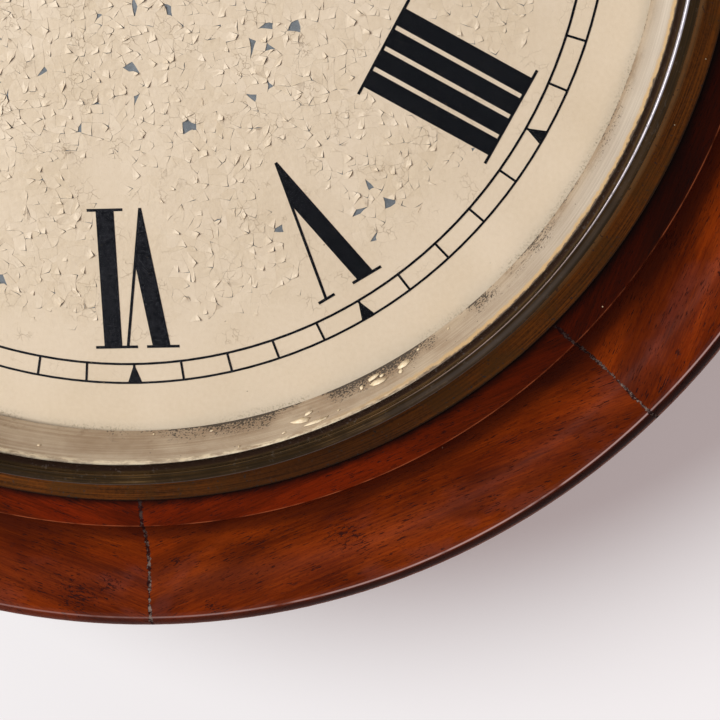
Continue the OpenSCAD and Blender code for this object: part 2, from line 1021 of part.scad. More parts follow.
module front_plate() {
    color(brass)
        front()
            difference() {
                plate(front_z, front_plate_t);
                translate([0, 0, front_z - 1])
                    cylinder(r = arbor_r + run_gap, h = front_plate_t + 2);
                translate([armature_x, armature_y, front_z - 1])
                    cylinder(r = armature_pin_r + run_gap, h = front_plate_t + 2);
                at_pillars()
                    translate([0, 0, front_z - 1])
                        cylinder(r = spigot_r, h = front_plate_t + 2);
                at_posts()
                    translate([0, 0, front_z - 1])
                        cylinder(r = spigot_r, h = front_plate_t + 2);
            }
}

module rear_plate() {
    color(brass)
        front()
            difference() {
                plate(rear_z, rear_plate_t);
                translate([0, 0, rear_z - 1])
                    cylinder(r = arbor_r - 0.5 + run_gap, h = rear_plate_t + 2);
                translate([armature_x, armature_y, rear_z - 1])
                    cylinder(r = armature_pin_r + run_gap, h = rear_plate_t + 2);
                at_pillars()
                    translate([0, 0, rear_z - 1])
                        cylinder(r = spigot_r, h = rear_plate_t + 2);
            }
}

// A pillar between two faces, with a spigot through what lies on each side
module pillar(r, z0, z1, below, above) {
    translate([0, 0, z0])
        cylinder(r = r, h = z1 - z0);
    translate([0, 0, z0 - below])
        cylinder(r = spigot_r, h = below + above + z1 - z0);
}

module movement_pillars() {
    color(brass)
        front() {
            at_pillars()
                pillar(pillar_r, rear_top, front_z, rear_plate_t, front_plate_t);
            at_posts()
                pillar(post_r, front_top, bar_z, front_plate_t, bar_t);
        }
}

motion_x = motion_distance * cos(motion_angle);
motion_y = motion_distance * sin(motion_angle);

module plate_studs() {
    color(steel)
        front() {
            translate([motion_x, motion_y, front_top]) {
                cylinder(r = stud_r, h = minute_leaf_top - front_top + flat_gap + eps);
                cylinder(r = stud_r + 1.2, h = minute_boss_z - front_top - flat_gap);
                translate([0, 0, minute_leaf_top - front_top + flat_gap])
                    cylinder(r = stud_head_r, h = stud_head_t);
            }
            translate([click_x, click_y, 0]) {
                translate([0, 0, pawl_z - flat_gap])
                    cylinder(r = stud_r, h = front_z - pawl_z + flat_gap);
                translate([0, 0, pawl_z + pawl_t + flat_gap])
                    cylinder(r = boss_r, h = front_z - pawl_z - pawl_t - flat_gap);
                translate([0, 0, pawl_z - flat_gap - stud_head_t])
                    cylinder(r = stud_head_r, h = stud_head_t);
            }
        }
}

// Electromagnet

module at_poles() {
    for (side = [-1, 1])
        translate([side * pole_x, core_bottom, coil_z])
            rotate([-90, 0, 0])
                children();
}

module magnet_yoke() {
    color(iron)
        front()
            translate([-yoke_half, core_bottom - yoke_t, front_z - yoke_depth - 6])
                cube([2 * yoke_half, yoke_t, yoke_depth + 6]);
}

module magnet_cores() {
    color(iron)
        front()
            at_poles()
                cylinder(r = core_r, h = core_top - core_bottom);
}

bobbin_l = core_top - core_bottom - 0.8;

module coil_bobbins() {
    color([0.12, 0.1, 0.08])
        front()
            at_poles()
                difference() {
                    union() {
                        cylinder(r = core_r + bobbin_wall, h = bobbin_l);
                        cylinder(r = coil_r, h = bobbin_flange);
                        translate([0, 0, bobbin_l - bobbin_flange])
                            cylinder(r = coil_r, h = bobbin_flange);
                    }
                    translate([0, 0, -1])
                        cylinder(r = core_r, h = bobbin_l + 2);
                }
}

module coil_windings() {
    color([0.15, 0.32, 0.18])
        front()
            at_poles()
                translate([0, 0, bobbin_flange])
                    tube(winding_r, core_r + bobbin_wall, bobbin_l - 2 * bobbin_flange);
}

module armature_spring() {
    block_bottom = armature_high + spring_gap + spring_t;
    color(steel)
        front() {
            translate([armature_right + 2, block_bottom - eps, armature_z1 - 4])
                cube([3, 12, front_z - armature_z1 + 4]);
            translate([armature_x + 0.5, block_bottom - spring_t, armature_z1 - 4])
                cube([armature_right - armature_x + 4.5, spring_t, 6]);
        }
}

// A wire along straight runs that cross at its bends, every other one thinner by a hair
module wire(points) {
    for (i = [0:len(points) - 2]) {
        run = points[i + 1] - points[i];
        translate(points[i])
            rotate([0, atan2(norm([run[0], run[1]]), run[2]), atan2(run[1], run[0])])
                translate([0, 0, -bend_lap])
                    cylinder(r = i % 2 == 0 ? lead_r : lead_r - hair, h = norm(run) + 2 * bend_lap);
    }
}

terminal_z = back_t + block_t;
left_terminal = [block_x - terminal_span / 2, block_y - nut_flat_r, terminal_z + nut_h + lead_r];
right_terminal = [block_x + terminal_span / 2, block_y - nut_flat_r, terminal_z + nut_h + lead_r];
lead_reach = nut_flat_r - terminal_r - bend_lap - 0.1;

module coil_leads() {
    low = core_bottom + 5;
    past = plate_w / 2 + 10;
    color([0.25, 0.4, 0.2])
        front() {
            wire([
                [pole_x + lead_foot, low, coil_z], [past - 4, low, coil_z], [past + 8, low + 33, coil_z - 8],
                left_terminal, left_terminal + [0, lead_reach, 0]
            ]);
            wire([
                [-pole_x, low, coil_z - lead_foot], [-pole_x, low, rear_top + 1.4],
                [past - 22, low, rear_top + 1.4], [past, low + 9, rear_top + 1],
                right_terminal, right_terminal + [0, lead_reach, 0]
            ]);
            wire([[lead_foot - pole_x, -58, coil_z], [pole_x - lead_foot, -58, coil_z]]);
        }
}

// Terminals

module terminal_block() {
    color([0.12, 0.08, 0.06])
        front()
            difference() {
                union() {
                    translate([block_x - block_w / 2, block_y - block_h / 2, back_t])
                        cube([block_w, block_h, block_t]);
                    translate([block_x - block_w / 2 - lug_w, block_y - block_h / 2, back_t])
                        cube([block_w + 2 * lug_w, block_h, lug_t]);
                }
                at_terminals()
                    cylinder(r = terminal_r, h = block_t + 1);
                at_block_screws()
                    brass_screw_hole();
            }
}

module at_terminals() {
    for (side = [-1, 1])
        translate([block_x + side * terminal_span / 2, block_y, back_t + lug_t])
            children();
}

module terminal_posts() {
    color(brass)
        front()
            at_terminals()
                cylinder(r = terminal_r, h = terminal_top - lug_t);
}

module terminal_nuts() {
    color(brass)
        front()
            at_terminals()
                for (z = [block_t - lug_t, block_t - lug_t + nut_h + 2 * lead_r])
                    translate([0, 0, z])
                        difference() {
                            cylinder(r = nut_flat_r, h = nut_h, $fn = 6);
                            translate([0, 0, -1])
                                cylinder(r = terminal_r, h = nut_h + 2);
                        }
}

// Train

// Points of a wheel with straight-sided teeth, one of them at the given angle
function gear_points(teeth, size, at) = [
    for (i = [0:teeth - 1], corner = [0:3])
        let (pitch_r = teeth * size / 2,
             across = [-0.3, -0.11, 0.11, 0.3][corner],
             r = pitch_r + (corner == 1 || corner == 2 ? 0.75 : -0.95) * size,
             a = at + (i + across) * 360 / teeth)
        [r * cos(a), r * sin(a)]
];

function ratchet_points() = [
    for (i = [0:ratchet_teeth - 1], corner = [0, 1])
        let (a = (i + corner * 0.08) * 360 / ratchet_teeth, r = ratchet_r - corner * ratchet_depth)
        [r * cos(a), r * sin(a)]
];

module centre_arbor() {
    color(steel)
        front() {
            translate([0, 0, rear_z - 1])
                cylinder(r = arbor_r - 0.5, h = rear_plate_t + 2);
            translate([0, 0, rear_top + flat_gap])
                cylinder(r = arbor_r, h = minute_hand_z + minute_hand_t + nut_t + 0.8 - rear_top - flat_gap);
            translate([0, 0, front_z - flat_gap - 1.2])
                cylinder(r = arbor_r + 1, h = 1.2);
        }
}

module ratchet_wheel() {
    color(brass)
        front()
            difference() {
                union() {
                    translate([0, 0, wheel_z])
                        linear_extrude(wheel_t)
                            polygon(ratchet_points());
                    translate([0, 0, wheel_z])
                        cylinder(r = 4, h = 5);
                }
                for (i = [0:4])
                    rotate([0, 0, 72 * i])
                        translate([0, 0, wheel_z - 1])
                            intersection() {
                                tube(ratchet_r - 4.5, 8, wheel_t + 2);
                                translate([2.5, 2.5, 0])
                                    cube([40, 40, wheel_t + 2]);
                                rotate([0, 0, -18])
                                    translate([2.5, -42.5, 0])
                                        cube([40, 40, wheel_t + 2]);
                            }
                translate([0, 0, wheel_z - 1])
                    cylinder(r = arbor_r, h = 7);
            }
}

module cannon_pinion() {
    square_side = 2 * cannon_r * 0.72;
    color(steel)
        front()
            difference() {
                union() {
                    translate([0, 0, cannon_z])
                        cylinder(r = cannon_r, h = minute_hand_z - cannon_z);
                    translate([-square_side / 2, -square_side / 2, minute_hand_z - 1])
                        cube([square_side, square_side, minute_hand_t + 1]);
                    translate([0, 0, cannon_gear_z])
                        linear_extrude(cannon_gear_t)
                            polygon(gear_points(cannon_teeth, cannon_module, motion_angle));
                    translate([0, 0, cannon_gear_z])
                        cylinder(r = 3.5, h = hour_wheel_z - ring_gap - cannon_gear_z);
                }
                translate([0, 0, cannon_z - 1])
                    cylinder(r = arbor_r, h = 60);
            }
}

module minute_wheel() {
    color(brass)
        front()
            translate([motion_x, motion_y, 0])
                difference() {
                    union() {
                        translate([0, 0, minute_wheel_z])
                            linear_extrude(minute_wheel_t)
                                polygon(gear_points(minute_teeth, cannon_module, motion_angle + 180 + 180 / minute_teeth));
                        translate([0, 0, minute_wheel_z])
                            linear_extrude(minute_leaf_top - minute_wheel_z)
                                polygon(gear_points(minute_leaves, hour_module, motion_angle + 180));
                        translate([0, 0, minute_boss_z])
                            cylinder(r = 2.7, h = minute_leaf_top - minute_boss_z);
                    }
                    translate([0, 0, minute_boss_z - 1])
                        cylinder(r = stud_r + run_gap, h = 20);
                }
}

module hour_wheel() {
    color(brass)
        front()
            difference() {
                union() {
                    translate([0, 0, hour_wheel_z])
                        cylinder(r = hour_pipe_r, h = hour_hand_z + hour_hand_t - hour_wheel_z);
                    translate([0, 0, hour_wheel_z + ring_gap])
                        linear_extrude(hour_wheel_t)
                            polygon(gear_points(hour_teeth, hour_module, motion_angle + 180 / hour_teeth));
                }
                translate([0, 0, hour_wheel_z - 1])
                    cylinder(r = cannon_r + run_gap, h = 40);
            }
}

// Hands: a tapered stem, a spade and a point, drawn along +y
module hand_shape(length, spade_r, stem_w, tail) {
    spade_y = length - 3.2 * spade_r;
    polygon([
        [-stem_w, -tail], [stem_w, -tail], [stem_w * 0.6, 0], [stem_w * 0.45, spade_y],
        [-stem_w * 0.45, spade_y], [-stem_w * 0.6, 0]
    ]);
    for (side = [-1, 1])
        translate([side * spade_r * 0.55, spade_y])
            circle(r = spade_r * 0.62);
    polygon([
        [-spade_r * 1.12, spade_y + spade_r * 0.25], [spade_r * 1.12, spade_y + spade_r * 0.25],
        [spade_r * 0.5, spade_y + spade_r * 1.2], [0, length], [-spade_r * 0.5, spade_y + spade_r * 1.2]
    ]);
    circle(r = stem_w * 1.9);
}

module minute_hand() {
    square_side = 2 * cannon_r * 0.72;
    color(blued)
        front()
            translate([0, 0, minute_hand_z])
                difference() {
                    clock(minute_angle)
                        linear_extrude(minute_hand_t)
                            hand_shape(minute_hand_l, 5, 2.6, 30);
                    translate([-square_side / 2, -square_side / 2, -1])
                        cube([square_side, square_side, minute_hand_t + 2]);
                }
}

module hand_nut() {
    color(brass)
        front()
            translate([0, 0, minute_hand_z + minute_hand_t])
                difference() {
                    cylinder(r = nut_r, h = nut_t);
                    translate([0, 0, -1])
                        cylinder(r = arbor_r, h = nut_t + 2);
                }
}

module hour_hand() {
    color(blued)
        front()
            translate([0, 0, hour_hand_z])
                difference() {
                    union() {
                        clock(hour_angle)
                            linear_extrude(hour_hand_t)
                                hand_shape(hour_hand_l, 8.5, 3.2, 12);
                        translate([0, 0, -2])
                            cylinder(r = hour_pipe_r + 1.6, h = 2 + hour_hand_t);
                    }
                    translate([0, 0, -3])
                        cylinder(r = hour_pipe_r, h = hour_hand_t + 4);
                }
}

// Armature, pawl and click

module armature() {
    color(iron)
        front() {
            difference() {
                translate([armature_left, armature_low, armature_z0])
                    cube([armature_right - armature_left, armature_high - armature_low, armature_z1 - armature_z0]);
                translate([armature_left - 1, armature_low - 1, armature_step])
                    cube([17, armature_high - armature_low + 2, 20]);
            }
            translate([armature_x, armature_y, rear_z - 0.5])
                cylinder(r = armature_pin_r, h = front_top - rear_z + 1);
            translate([pawl_x, pawl_y, armature_step - 1]) {
                cylinder(r = stud_r, h = pawl_z + pawl_t + flat_gap + eps - armature_step + 1);
                translate([0, 0, pawl_z + pawl_t + flat_gap - armature_step + 1])
                    cylinder(r = stud_head_r, h = stud_head_t);
            }
        }
}

// A click's arm around its stud at the origin, with the nose at the given point
module click_arm(nose, back, waist) {
    difference() {
        union() {
            cylinder(r = boss_r, h = pawl_t);
            linear_extrude(pawl_t)
                polygon([[-waist, 0], nose[0] < 0 ? back : nose, nose[0] < 0 ? nose : back, [waist, 0]]);
        }
        translate([0, 0, -1])
            cylinder(r = stud_r + run_gap, h = pawl_t + 2);
    }
}

module drive_pawl() {
    nose = [-ratchet_r - tooth_gap - pawl_x, -1 - pawl_y];
    color(steel)
        front()
            translate([pawl_x, pawl_y, pawl_z])
                difference() {
                    union() {
                        cylinder(r = boss_r, h = pawl_t);
                        linear_extrude(pawl_t)
                            polygon([[-2.2, 0], [2.2, 0], [nose[0] - 3, nose[1] - 3], nose, nose + [-1.2, 1.8],
                                     [nose[0] - 5.6, nose[1] - 1.2]]);
                    }
                    translate([0, 0, -1])
                        cylinder(r = stud_r + run_gap, h = pawl_t + 2);
                }
}

module stop_click() {
    nose = [ratchet_r + tooth_gap + 0.2 - click_x, 4 - click_y];
    color(steel)
        front()
            translate([click_x, click_y, pawl_z])
                difference() {
                    union() {
                        cylinder(r = boss_r, h = pawl_t);
                        linear_extrude(pawl_t)
                            polygon([[2.2, 0], [-2.2, 0], nose, nose + [1.4, -1.4], nose + [3.9, 3]]);
                    }
                    translate([0, 0, -1])
                        cylinder(r = stud_r + run_gap, h = pawl_t + 2);
                }
}

surround_segment(1);  // surround_segment_1
surround_segment(2);  // surround_segment_2
surround_segment(3);  // surround_segment_3
surround_segment(4);  // surround_segment_4
surround_segment(5);  // surround_segment_5
surround_segment(6);  // surround_segment_6
surround_segment(7);  // surround_segment_7
surround_segment(8);  // surround_segment_8
backing_ring();
segment_screws();
dial_plate();
dial_paint();
dial_printing();
brass_screws();
movement_bar();
bar_screws();
front_plate();
rear_plate();
movement_pillars();
plate_studs();
magnet_yoke();
magnet_cores();
coil_bobbins();
coil_windings();
armature_spring();
terminal_block();
terminal_posts();
terminal_nuts();
coil_leads();
back_board();
box_side(-1);  // box_left_side
box_side(1);  // box_right_side
box_top();
box_bottom();
case_screws();
hanging_plate();
wire_bush();
hinge_fixed_leaf();
hinge_pin();
catch_screws();
door_pivots();
bezel_ring();
glass();
sight_ring();
glass_clips();
hinge_moving_leaf();
centre_arbor();
ratchet_wheel();
cannon_pinion();
minute_hand();
hand_nut();
hour_wheel();
hour_hand();
minute_wheel();
armature();
drive_pawl();
stop_click();
case_door();
door_catch();
bezel_catch();
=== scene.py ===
import json
import math
import random

import bmesh
import bpy
from mathutils import Matrix, Vector, noise


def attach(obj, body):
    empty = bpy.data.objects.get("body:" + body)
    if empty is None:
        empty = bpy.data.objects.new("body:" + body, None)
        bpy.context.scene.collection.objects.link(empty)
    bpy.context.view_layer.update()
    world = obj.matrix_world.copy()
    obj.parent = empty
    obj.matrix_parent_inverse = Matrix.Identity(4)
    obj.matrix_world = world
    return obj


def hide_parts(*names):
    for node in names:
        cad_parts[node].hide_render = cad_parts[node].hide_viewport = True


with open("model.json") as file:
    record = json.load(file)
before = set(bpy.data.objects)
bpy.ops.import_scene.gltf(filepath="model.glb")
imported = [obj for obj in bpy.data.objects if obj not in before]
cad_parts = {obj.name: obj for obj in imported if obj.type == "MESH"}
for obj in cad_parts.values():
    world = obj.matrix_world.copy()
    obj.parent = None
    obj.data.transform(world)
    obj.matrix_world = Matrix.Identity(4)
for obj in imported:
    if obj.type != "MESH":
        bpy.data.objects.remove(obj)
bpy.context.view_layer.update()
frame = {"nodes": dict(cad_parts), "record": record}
nodes = frame["nodes"]
scene = bpy.context.scene
mm = 0.001  # the model is in metres, the lists below are in millimetres
print("frame loaded:", len(nodes), "nodes")


def tint(red, green, blue):  # a colour as a paint chart gives it, made linear
    return tuple(c / 12.92 if c <= 0.04045 else ((c + 0.055) / 1.055) ** 2.4
                 for c in (red / 255, green / 255, blue / 255)) + (1.0,)


# camera: the photograph's place, from the dial's circles
camera = {
    "at": (96.17, -573.29, -4.30),  # mm, as the target
    "target": (65.0, -82.0, -129.87),
    "lens": 89.2,
    "sensor": 36,
    "near": 0.01,  # m
    "roll": -1.81,
}
camData = bpy.data.cameras.new("photoCamera")
camData.sensor_width = camera["sensor"]
camData.lens = camera["lens"]
camData.clip_start = camera["near"]
camObject = bpy.data.objects.new("photoCamera", camData)
scene.collection.objects.link(camObject)
look = Vector(camera["target"]) - Vector(camera["at"])
camObject.rotation_mode = "QUATERNION"
camObject.rotation_quaternion = (look.to_track_quat("-Z", "Y")
                                 @ Matrix.Rotation(math.radians(camera["roll"]), 4, "Z").to_quaternion())
camObject.location = Vector(camera["at"]) * mm
scene.camera = camObject
print("camera set")


# shader sockets
def plug(tree, socket, value):
    if isinstance(value, Wire):
        tree.links.new(value.socket, socket)
    else:
        socket.default_value = value


class Wire:  # one output socket; an operator on it adds its Math node
    def __init__(self, tree, socket):
        self.tree = tree
        self.socket = socket

    def add(self, kind, settings, inputs, output=0):
        node = self.tree.nodes.new("ShaderNode" + kind)
        for name, value in settings.items():
            setattr(node, name, value)
        for name, value in inputs.items():
            plug(self.tree, node.inputs[name], value)
        return Wire(self.tree, node.outputs[output])

    def math(self, operation, first, second=0.0):
        return self.add("Math", {"operation": operation}, {0: first, 1: second})

    def __add__(self, other):
        return self.math("ADD", self, other)

    __radd__ = __add__

    def __sub__(self, other):
        return self.math("SUBTRACT", self, other)

    def __rsub__(self, other):
        return self.math("SUBTRACT", other, self)

    def __mul__(self, other):
        return self.math("MULTIPLY", self, other)

    __rmul__ = __mul__

    def __pow__(self, other):
        return self.math("POWER", self, other)

    def most(self, other):
        return self.math("MAXIMUM", self, other)

    def size(self):
        return self.math("ABSOLUTE", self)

    def step(self, low, high):  # 0 below low, 1 above high, smooth between
        return self.add("MapRange", {"interpolation_type": "SMOOTHSTEP"},
                        {"Value": self, "From Min": low, "From Max": high})

    def band(self, low, high, soft):  # 1 between low and high
        return self.step(low - soft, low + soft) * self.step(high + soft, high - soft)

    def blend(self, first, second):  # this mask mixes two colours, by the node's colour sockets
        return self.add("Mix", {"data_type": "RGBA"}, {0: self, 6: first, 7: second}, 2)

    def grain(self, sizes, turn=0.0, shift=(0.0, 0.0, 0.0)):
        # sizes of the pattern in mm, one for all or one each way, turned about Y first
        if not isinstance(sizes, tuple):
            sizes = (sizes, sizes, sizes)
        return self.add("Mapping", {"vector_type": "TEXTURE"},
                        {"Vector": self, "Location": tuple(s * mm for s in shift),
                         "Rotation": (0.0, turn, 0.0), "Scale": tuple(s * mm for s in sizes)})

    def cloud(self, detail=3.0, roughness=0.5, bend=0.0, output=0):
        return self.add("TexNoise", {}, {"Vector": self, "Scale": 1.0, "Detail": detail,
                                         "Roughness": roughness, "Distortion": bend}, output)

    def cells(self, feature="F1", output=0):
        return self.add("TexVoronoi", {"feature": feature}, {"Vector": self, "Scale": 1.0}, output)

    def split(self):
        node = self.tree.nodes.new("ShaderNodeSeparateXYZ")
        self.tree.links.new(self.socket, node.inputs[0])
        return [Wire(self.tree, out) for out in node.outputs]

    def bump(self, height):  # this socket as a height, in mm
        return self.add("Bump", {}, {"Height": self, "Strength": 1.0, "Distance": height * mm})


def newMaterial(name, **fixed):
    made = bpy.data.materials.new(name)
    made.use_nodes = True
    shader = made.node_tree.nodes["Principled BSDF"]
    for socket, value in fixed.items():
        shader.inputs[socket.replace("_", " ")].default_value = value
    place = Wire(made.node_tree, made.node_tree.nodes.new("ShaderNodeTexCoord").outputs["Object"])
    return made, shader, place


def feed(shader, **wires):
    for socket, value in wires.items():
        plug(shader.id_data, shader.inputs[socket.replace("_", " ")], value)


def radius(place):  # metres from the dial's axis, and depth along it
    x, y, z = place.split()
    return (x * x + z * z) ** 0.5, y


def speckles(place, size, share, dot, shift=0.0):  # round dots in a share of the cells
    spread = place.grain(size, shift=(shift, shift, shift))
    near = spread.cells()
    chance = spread.cells(output=1).split()[0]
    return near.step(dot, dot * 0.6) * chance.step(1 - share, 1 - share + 0.01)


# mesh helpers
def asPiece(name, bm, body, finish, replaced=(), sharp=32):
    # an edge stays hard from so many degrees on, and with 0 every face is flat
    for edge in bm.edges:
        edge.smooth = edge.calc_face_angle(0.0) < math.radians(sharp)
    for face in bm.faces:
        face.smooth = sharp > 0
    mesh = bpy.data.meshes.new(name)
    bm.to_mesh(mesh)
    bm.free()
    mesh.materials.append(finish)
    piece = bpy.data.objects.new(name, mesh)
    scene.collection.objects.link(piece)
    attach(piece, body)
    if replaced:
        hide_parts(*replaced)
    return piece


def spun(profile, steps, start=0.0, sweep=360.0, soften=0.0):
    # a closed outline of (radius, depth) turned about the dial's axis; start and sweep are clock angles
    bm = bmesh.new()
    a = math.radians(start)
    turned = [(r * mm * math.sin(a), -d * mm, r * mm * math.cos(a)) for r, d in profile]
    bm.faces.new([bm.verts.new(p) for p in turned])
    if soften:
        bmesh.ops.bevel(bm, geom=bm.verts[:], offset=soften * mm, affect="VERTICES", segments=3,
                        profile=0.5, material=-1)
    bmesh.ops.delete(bm, geom=bm.faces[:], context="FACES_ONLY")
    full = sweep >= 360
    bmesh.ops.spin(bm, geom=bm.verts[:] + bm.edges[:], cent=(0, 0, 0), axis=(0, 1, 0),
                   angle=math.radians(sweep), steps=steps, use_merge=full, use_duplicate=False)
    if not full:
        ends = [edge for edge in bm.edges if edge.is_boundary]
        bmesh.ops.edgeloop_fill(bm, edges=ends)
    bmesh.ops.remove_doubles(bm, verts=bm.verts[:], dist=1e-7)
    bmesh.ops.recalc_face_normals(bm, faces=bm.faces[:])
    return bm


def arc(cr, cd, r, first, last, count):  # points round (cr, cd), angles from the +radius side
    turns = [math.radians(first + (last - first) * i / count) for i in range(count + 1)]
    return [(cr + r * math.cos(turn), cd + r * math.sin(turn)) for turn in turns]


easing = {
    "merge": 2e-6,  # m between corners that are one
    "flat": 0.5,  # degrees between faces that are one
    "crisp": 40,  # degrees from which an edge is eased
}


def softened(name, width, finish, body):  # a CAD piece with its edges eased
    bm = bmesh.new()
    bm.from_mesh(nodes[name].data)
    bmesh.ops.remove_doubles(bm, verts=bm.verts[:], dist=easing["merge"])
    bmesh.ops.dissolve_limit(bm, angle_limit=math.radians(easing["flat"]), verts=bm.verts[:],
                             edges=bm.edges[:])
    crisp = [edge for edge in bm.edges
             if len(edge.link_faces) == 2 and edge.calc_face_angle(0.0) > math.radians(easing["crisp"])]
    bmesh.ops.bevel(bm, geom=crisp, offset=width * mm, offset_type="OFFSET", affect="EDGES",
                    segments=2, profile=0.5, material=-1, clamp_overlap=True)
    return asPiece(name + "Eased", bm, body, finish, (name,))


# dial: crackled paint
paint = {
    "pale": tint(218, 203, 181),
    "deep": tint(204, 187, 161),
    "dirt": tint(150, 134, 108),
    "crack": tint(150, 126, 96),
    "speck": tint(92, 74, 54),
    "zincPale": tint(112, 118, 123),
    "zincDark": tint(82, 88, 93),
    "ink": tint(10, 12, 16),
    "inkWorn": tint(40, 41, 46),
    "inkBroken": tint(150, 138, 118),
    "foot": 81.82,  # mm before the wall, inside the plain coat
    "face": 81.975,
}
flake = {
    "cell": 2.45,  # mm between the lines of the grid that it starts from
    "jitter": 0.40,
    "halved": 0.55,  # share of the cells that break in two
    "joined": 0.72,  # share of the flakes that take in a neighbour
    "reach": 124.5,
    "spare": (3, 4),  # mm beyond the reach, of the square sheet and of the circle cut from it
    "uneven": (-2.0, 0.5),  # mm by which the last flakes miss the reach
    "hub": 8.6,
    "smallFirst": 1.7,  # how much rather a small flake is lost than a large one
    "ringFrom": 121.0,
    "top": 81.985,
    "thick": 0.12,
    "ragged": 0.17,  # mm that an edge bows at its middle
    "bowed": (0.35, 0.65),  # where along the edge
    "tones": 0.5,  # how far flakes differ between pale and deep
    "curled": 0.62,  # share of the flakes that lift a corner
    "shaded": 0.75,  # share of the curls that are on the side away from the light
    "flatPart": (0.45, 0.7),  # size of the part inside a curl's rim
    "lift": (0.10, 0.78),
    "bend": (1.3, 2.6),  # mm over which a corner curls
    "tilt": 1.5,
    "gap": 0.010,
    "seed": 7,
}
hold = {  # where the paint keeps to its plate
    "freeUpTo": 123,  # mm from the centre
    "freeOver": 11,  # mm in which that ends
    "waves": 21,  # mm across places that lift more or less
    "leastWave": 0.50,
    "patch": (-6, -77),
    "patchWide": (5.5, 4.5),  # mm that hold, and mm in which that ends
    "numerals": (83, 126),
    "numeralMargin": 1.5,
    "underInk": 0.07,
}
chips = [  # places where a flake is lost and the bare plate shows
    (-4.7, -30.5), (5.6, -30.0), (15.5, -30.2), (4.4, -46.0), (-19.4, -48.6), (-31.0, -49.4),
    (4.1, -54.2), (-5.0, -56.2), (-10.1, -61.1), (19.9, -62.7), (42.5, -36.2), (51.0, -35.7),
    (39.3, -39.4), (42.4, -42.5), (38.4, -56.3), (39.5, -53.9), (41.8, -55.2), (69.6, -80.3),
    (74.0, -84.9), (67.8, -86.5), (73.2, -92.8), (42.1, -91.8), (-36.2, -105.2), (-52, 12),
    (-30, 38), (14, 52), (33, 21), (-61, -22), (24, 74), (-18, 66), (-74, 41), (58, 30),
]


def paintFinish():
    made, shader, place = newMaterial("crackledPaint", Specular_IOR_Level=0.35)
    x, y, z = place.split()
    r = radius(place)[0]
    tone = place.add("Attribute", {"attribute_name": "tone"}, {}, 2)
    wide = place.grain(28).cloud(2)
    fine = place.grain(1.3).cloud(3)
    shade = (wide * 0.9 + fine * 0.5 - 0.2 + tone * 0.18).step(0.0, 1.0)
    colour = shade.blend(paint["pale"], paint["deep"])
    scales = place.grain(3.1)
    wander = place.grain(2.2).cloud(2, output=1)
    warped = scales.add("VectorMath", {"operation": "ADD"}, {0: scales, 1: wander})
    edge = warped.cells("DISTANCE_TO_EDGE")
    patchy = place.grain(9, shift=(4, 0, 9)).cloud(2).step(0.5, 0.66)
    hair = edge.step(0.022, 0.0) * patchy * r.step(0.146, 0.120)  # fine cracks that haven't opened
    colour = (hair * 0.55).blend(colour, paint["crack"])
    grime = r.step(0.1470, 0.1494) * place.grain(17).cloud(2).step(0.40, 0.60)  # along the sight ring
    grime = grime * place.grain(0.7).cloud(4, 0.75).step(0.50, 0.62)
    colour = (grime * 0.7).blend(colour, paint["dirt"])
    specks = speckles(place, 5.5, 0.14, 0.045).most(speckles(place, 9, 0.25, 0.035, 3.7))
    colour = (specks * 0.7).blend(colour, paint["speck"])
    clear = ((x + 0.005) ** 2.0 + (z + 0.077) ** 2.0) ** 0.5
    rough = r.step(0.126, 0.112) * clear.step(0.005, 0.013) * (wide.step(0.3, 0.6) * 0.6 + 0.4)
    shingle = warped.cells() * 0.9 + place.grain(1.6, shift=(2, 0, 5)).cloud(3, 0.6) * 1.3
    height = fine * 0.4 + place.grain(0.45).cloud(2) * 0.2 - hair * 0.8 + shingle * rough
    feed(shader, Base_Color=colour, Roughness=fine * 0.12 + 0.42, Normal=height.bump(0.085))
    return made


def inkFinish():
    made, shader, place = newMaterial("numeralInk", Specular_IOR_Level=0.03)
    x = place.split()[0]
    fine = place.grain(0.8).cloud(4, 0.6)
    broken = place.grain(0.55, shift=(7, 0, 3)).cloud(3, 0.6).step(0.68, 0.74)
    area = place.grain(11).cloud(2).step(0.48, 0.62)
    rubbed = fine.step(0.3, 0.8) * (x.step(0.075, 0.015) * 0.8 + 0.2)
    colour = rubbed.blend(paint["ink"], paint["inkWorn"])
    colour = (broken * area * 0.8).blend(colour, paint["inkBroken"])
    feed(shader, Base_Color=colour, Roughness=fine * 0.25 + 0.3, Normal=fine.bump(0.05))
    return made


def zincFinish():
    made, shader, place = newMaterial("bareZinc", Metallic=0.25)
    mottle = place.grain(1.4).cloud(5, 0.65)
    wide = place.grain(16).cloud(3)
    colour = (mottle * 0.7 + wide * 0.5).step(0.35, 0.85).blend(paint["zincDark"], paint["zincPale"])
    feed(shader, Base_Color=colour, Roughness=mottle * 0.3 + 0.4, Normal=mottle.bump(0.03))
    return made


numeralHalf = [13.6, 2.6, 5.7, 8.9, 12.0, 7.8, 9.6, 12.7, 15.9, 10.4, 7.3, 10.4]  # half widths, from XII
numeralAside = [0.5, 0.5, 0.5, 0.5, 0.6, 0.1, 1.4, 1.0, 0.5, 0.5, 0.5, 0.5]  # mm left of its hour


